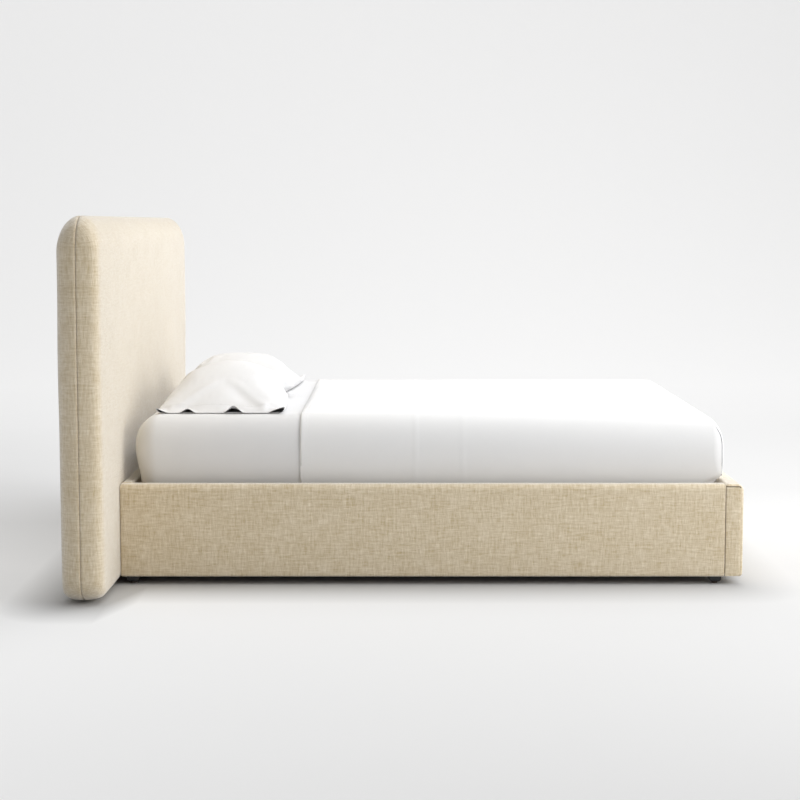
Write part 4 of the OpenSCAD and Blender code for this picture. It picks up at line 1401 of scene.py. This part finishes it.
def make_finish(slot):
    """The finish of a slot, from the settings or from the tables below."""
    linen = bpy.context.scene.bed_linen
    timbers = {"pine": (PINE, 0.35), "plywood": (PLYWOOD, 0.25)}
    grains = {"": (2.0, 40.0, 40.0), "upright": (40.0, 40.0, 2.0), "across": (40.0, 2.0, 40.0)}
    cottons = {
        "sheet_cotton": ("sheet_cotton", linen.sheet_colour),
        "coverlet_cotton": ("coverlet_cotton", linen.coverlet_colour),
        "case_cotton": ("case_cotton", linen.case_colour, 0.7 * MM, 0.3),
        "pillow_fill": ("pillow_ticking", (0.82, 0.82, 0.80)),
        "ticking": ("mattress_ticking", (0.78, 0.78, 0.76), 1.4 * MM),
        "thread": ("thread", (0.70, 0.70, 0.69), 0.5 * MM),
        "webbing": ("webbing", (0.70, 0.67, 0.58), 2 * MM)}
    plains = {
        # Grey cord of painted shade for the shadow line beside the coverlet's corner folds
        "shade_thread": ("shade_thread", (0.26, 0.26, 0.28), 0.9, 0.0, 700.0),
        # Near-black cord on the foot rail's end seams: a real seam, darkened as painted shade of its groove
        "seam": ("seam_thread", (0.10, 0.075, 0.045), 0.9, 0.0, 700.0),
        "foam": ("foam", (0.80, 0.74, 0.52), 0.95, 0.0, 500.0, 0.4 * MM),
        "spring_core": ("spring_core", (0.55, 0.56, 0.58), 0.8),
        "zinc_steel": ("zinc_steel", (0.60, 0.61, 0.63), 0.35, 1.0),
        "black_plastic": ("black_plastic", (0.018, 0.018, 0.018), 0.42),
        "brown_felt": ("brown_felt", (0.07, 0.05, 0.035), 0.95, 0.0, 400.0, 0.5 * MM)}
    if slot == "linen":
        return woven_linen(bpy.context.scene.bed_upholstery)
    if slot in cottons:
        return cotton(*cottons[slot])
    if slot in plains:
        return plain(*plains[slot])
    wood, _, grain = slot.partition("_")
    colour, contrast = timbers[wood]
    return timber(slot, colour, grains[grain], contrast)


def grain_of(node, slot):
    """The ending of a timber's name that says which way its grain runs in a node."""
    upright = ("post", "stud", "leg", "feet")
    across = ("slats", "_beam", "panel", "foot_rail", "head_rail")
    if slot not in ("pine", "plywood"):
        return ""
    if any(word in node for word in upright):
        return "_upright"
    if any(word in node for word in across) and node != "centre_beam":
        return "_across"
    return ""


class BED_OT_finishes(Operator):
    """Give each part of the frame its finish"""

    bl_idname = "bed.finishes"
    bl_label = "Frame finishes"

    def execute(self, context):
        for part in frame["record"]["subparts"]:
            node, finish = part["node"], part["material_slot"]
            for slot in frame["nodes"][node].material_slots:
                slot.material = material_of(finish + grain_of(node, finish))
        return {"FINISHED"}


class BED_PT_sidebar(Panel):
    """Sidebar panel that lists the bed's settings and its steps"""

    bl_idname = "BED_PT_sidebar"
    bl_label = "Upholstered Bed"
    bl_space_type = "VIEW_3D"
    bl_region_type = "UI"
    bl_category = "Bed"

    def draw(self, context):
        for name, group in SETTINGS.items():
            box = self.layout.box()
            for key in group.__annotations__:
                box.prop(getattr(context.scene, name), key)
        for step in STEPS:
            self.layout.operator(step.bl_idname)


STEPS = (BED_OT_stage, BED_OT_finishes, BED_OT_headboard, BED_OT_rails, BED_OT_mattress, BED_OT_sheet,
         BED_OT_coverlet, BED_OT_pillows)


def register():
    for group in SETTINGS.values():
        bpy.utils.register_class(group)
    for name, group in SETTINGS.items():
        setattr(bpy.types.Scene, name, PointerProperty(type=group))
    for step in STEPS:
        bpy.utils.register_class(step)
    bpy.utils.register_class(BED_PT_sidebar)


def unregister():
    bpy.utils.unregister_class(BED_PT_sidebar)
    for step in reversed(STEPS):
        bpy.utils.unregister_class(step)
    for name, group in SETTINGS.items():
        delattr(bpy.types.Scene, name)
        bpy.utils.unregister_class(group)


def main():
    register()
    for step in STEPS:
        family, action = step.bl_idname.split(".")
        getattr(getattr(bpy.ops, family), action)()


if __name__ == "__main__":
    main()
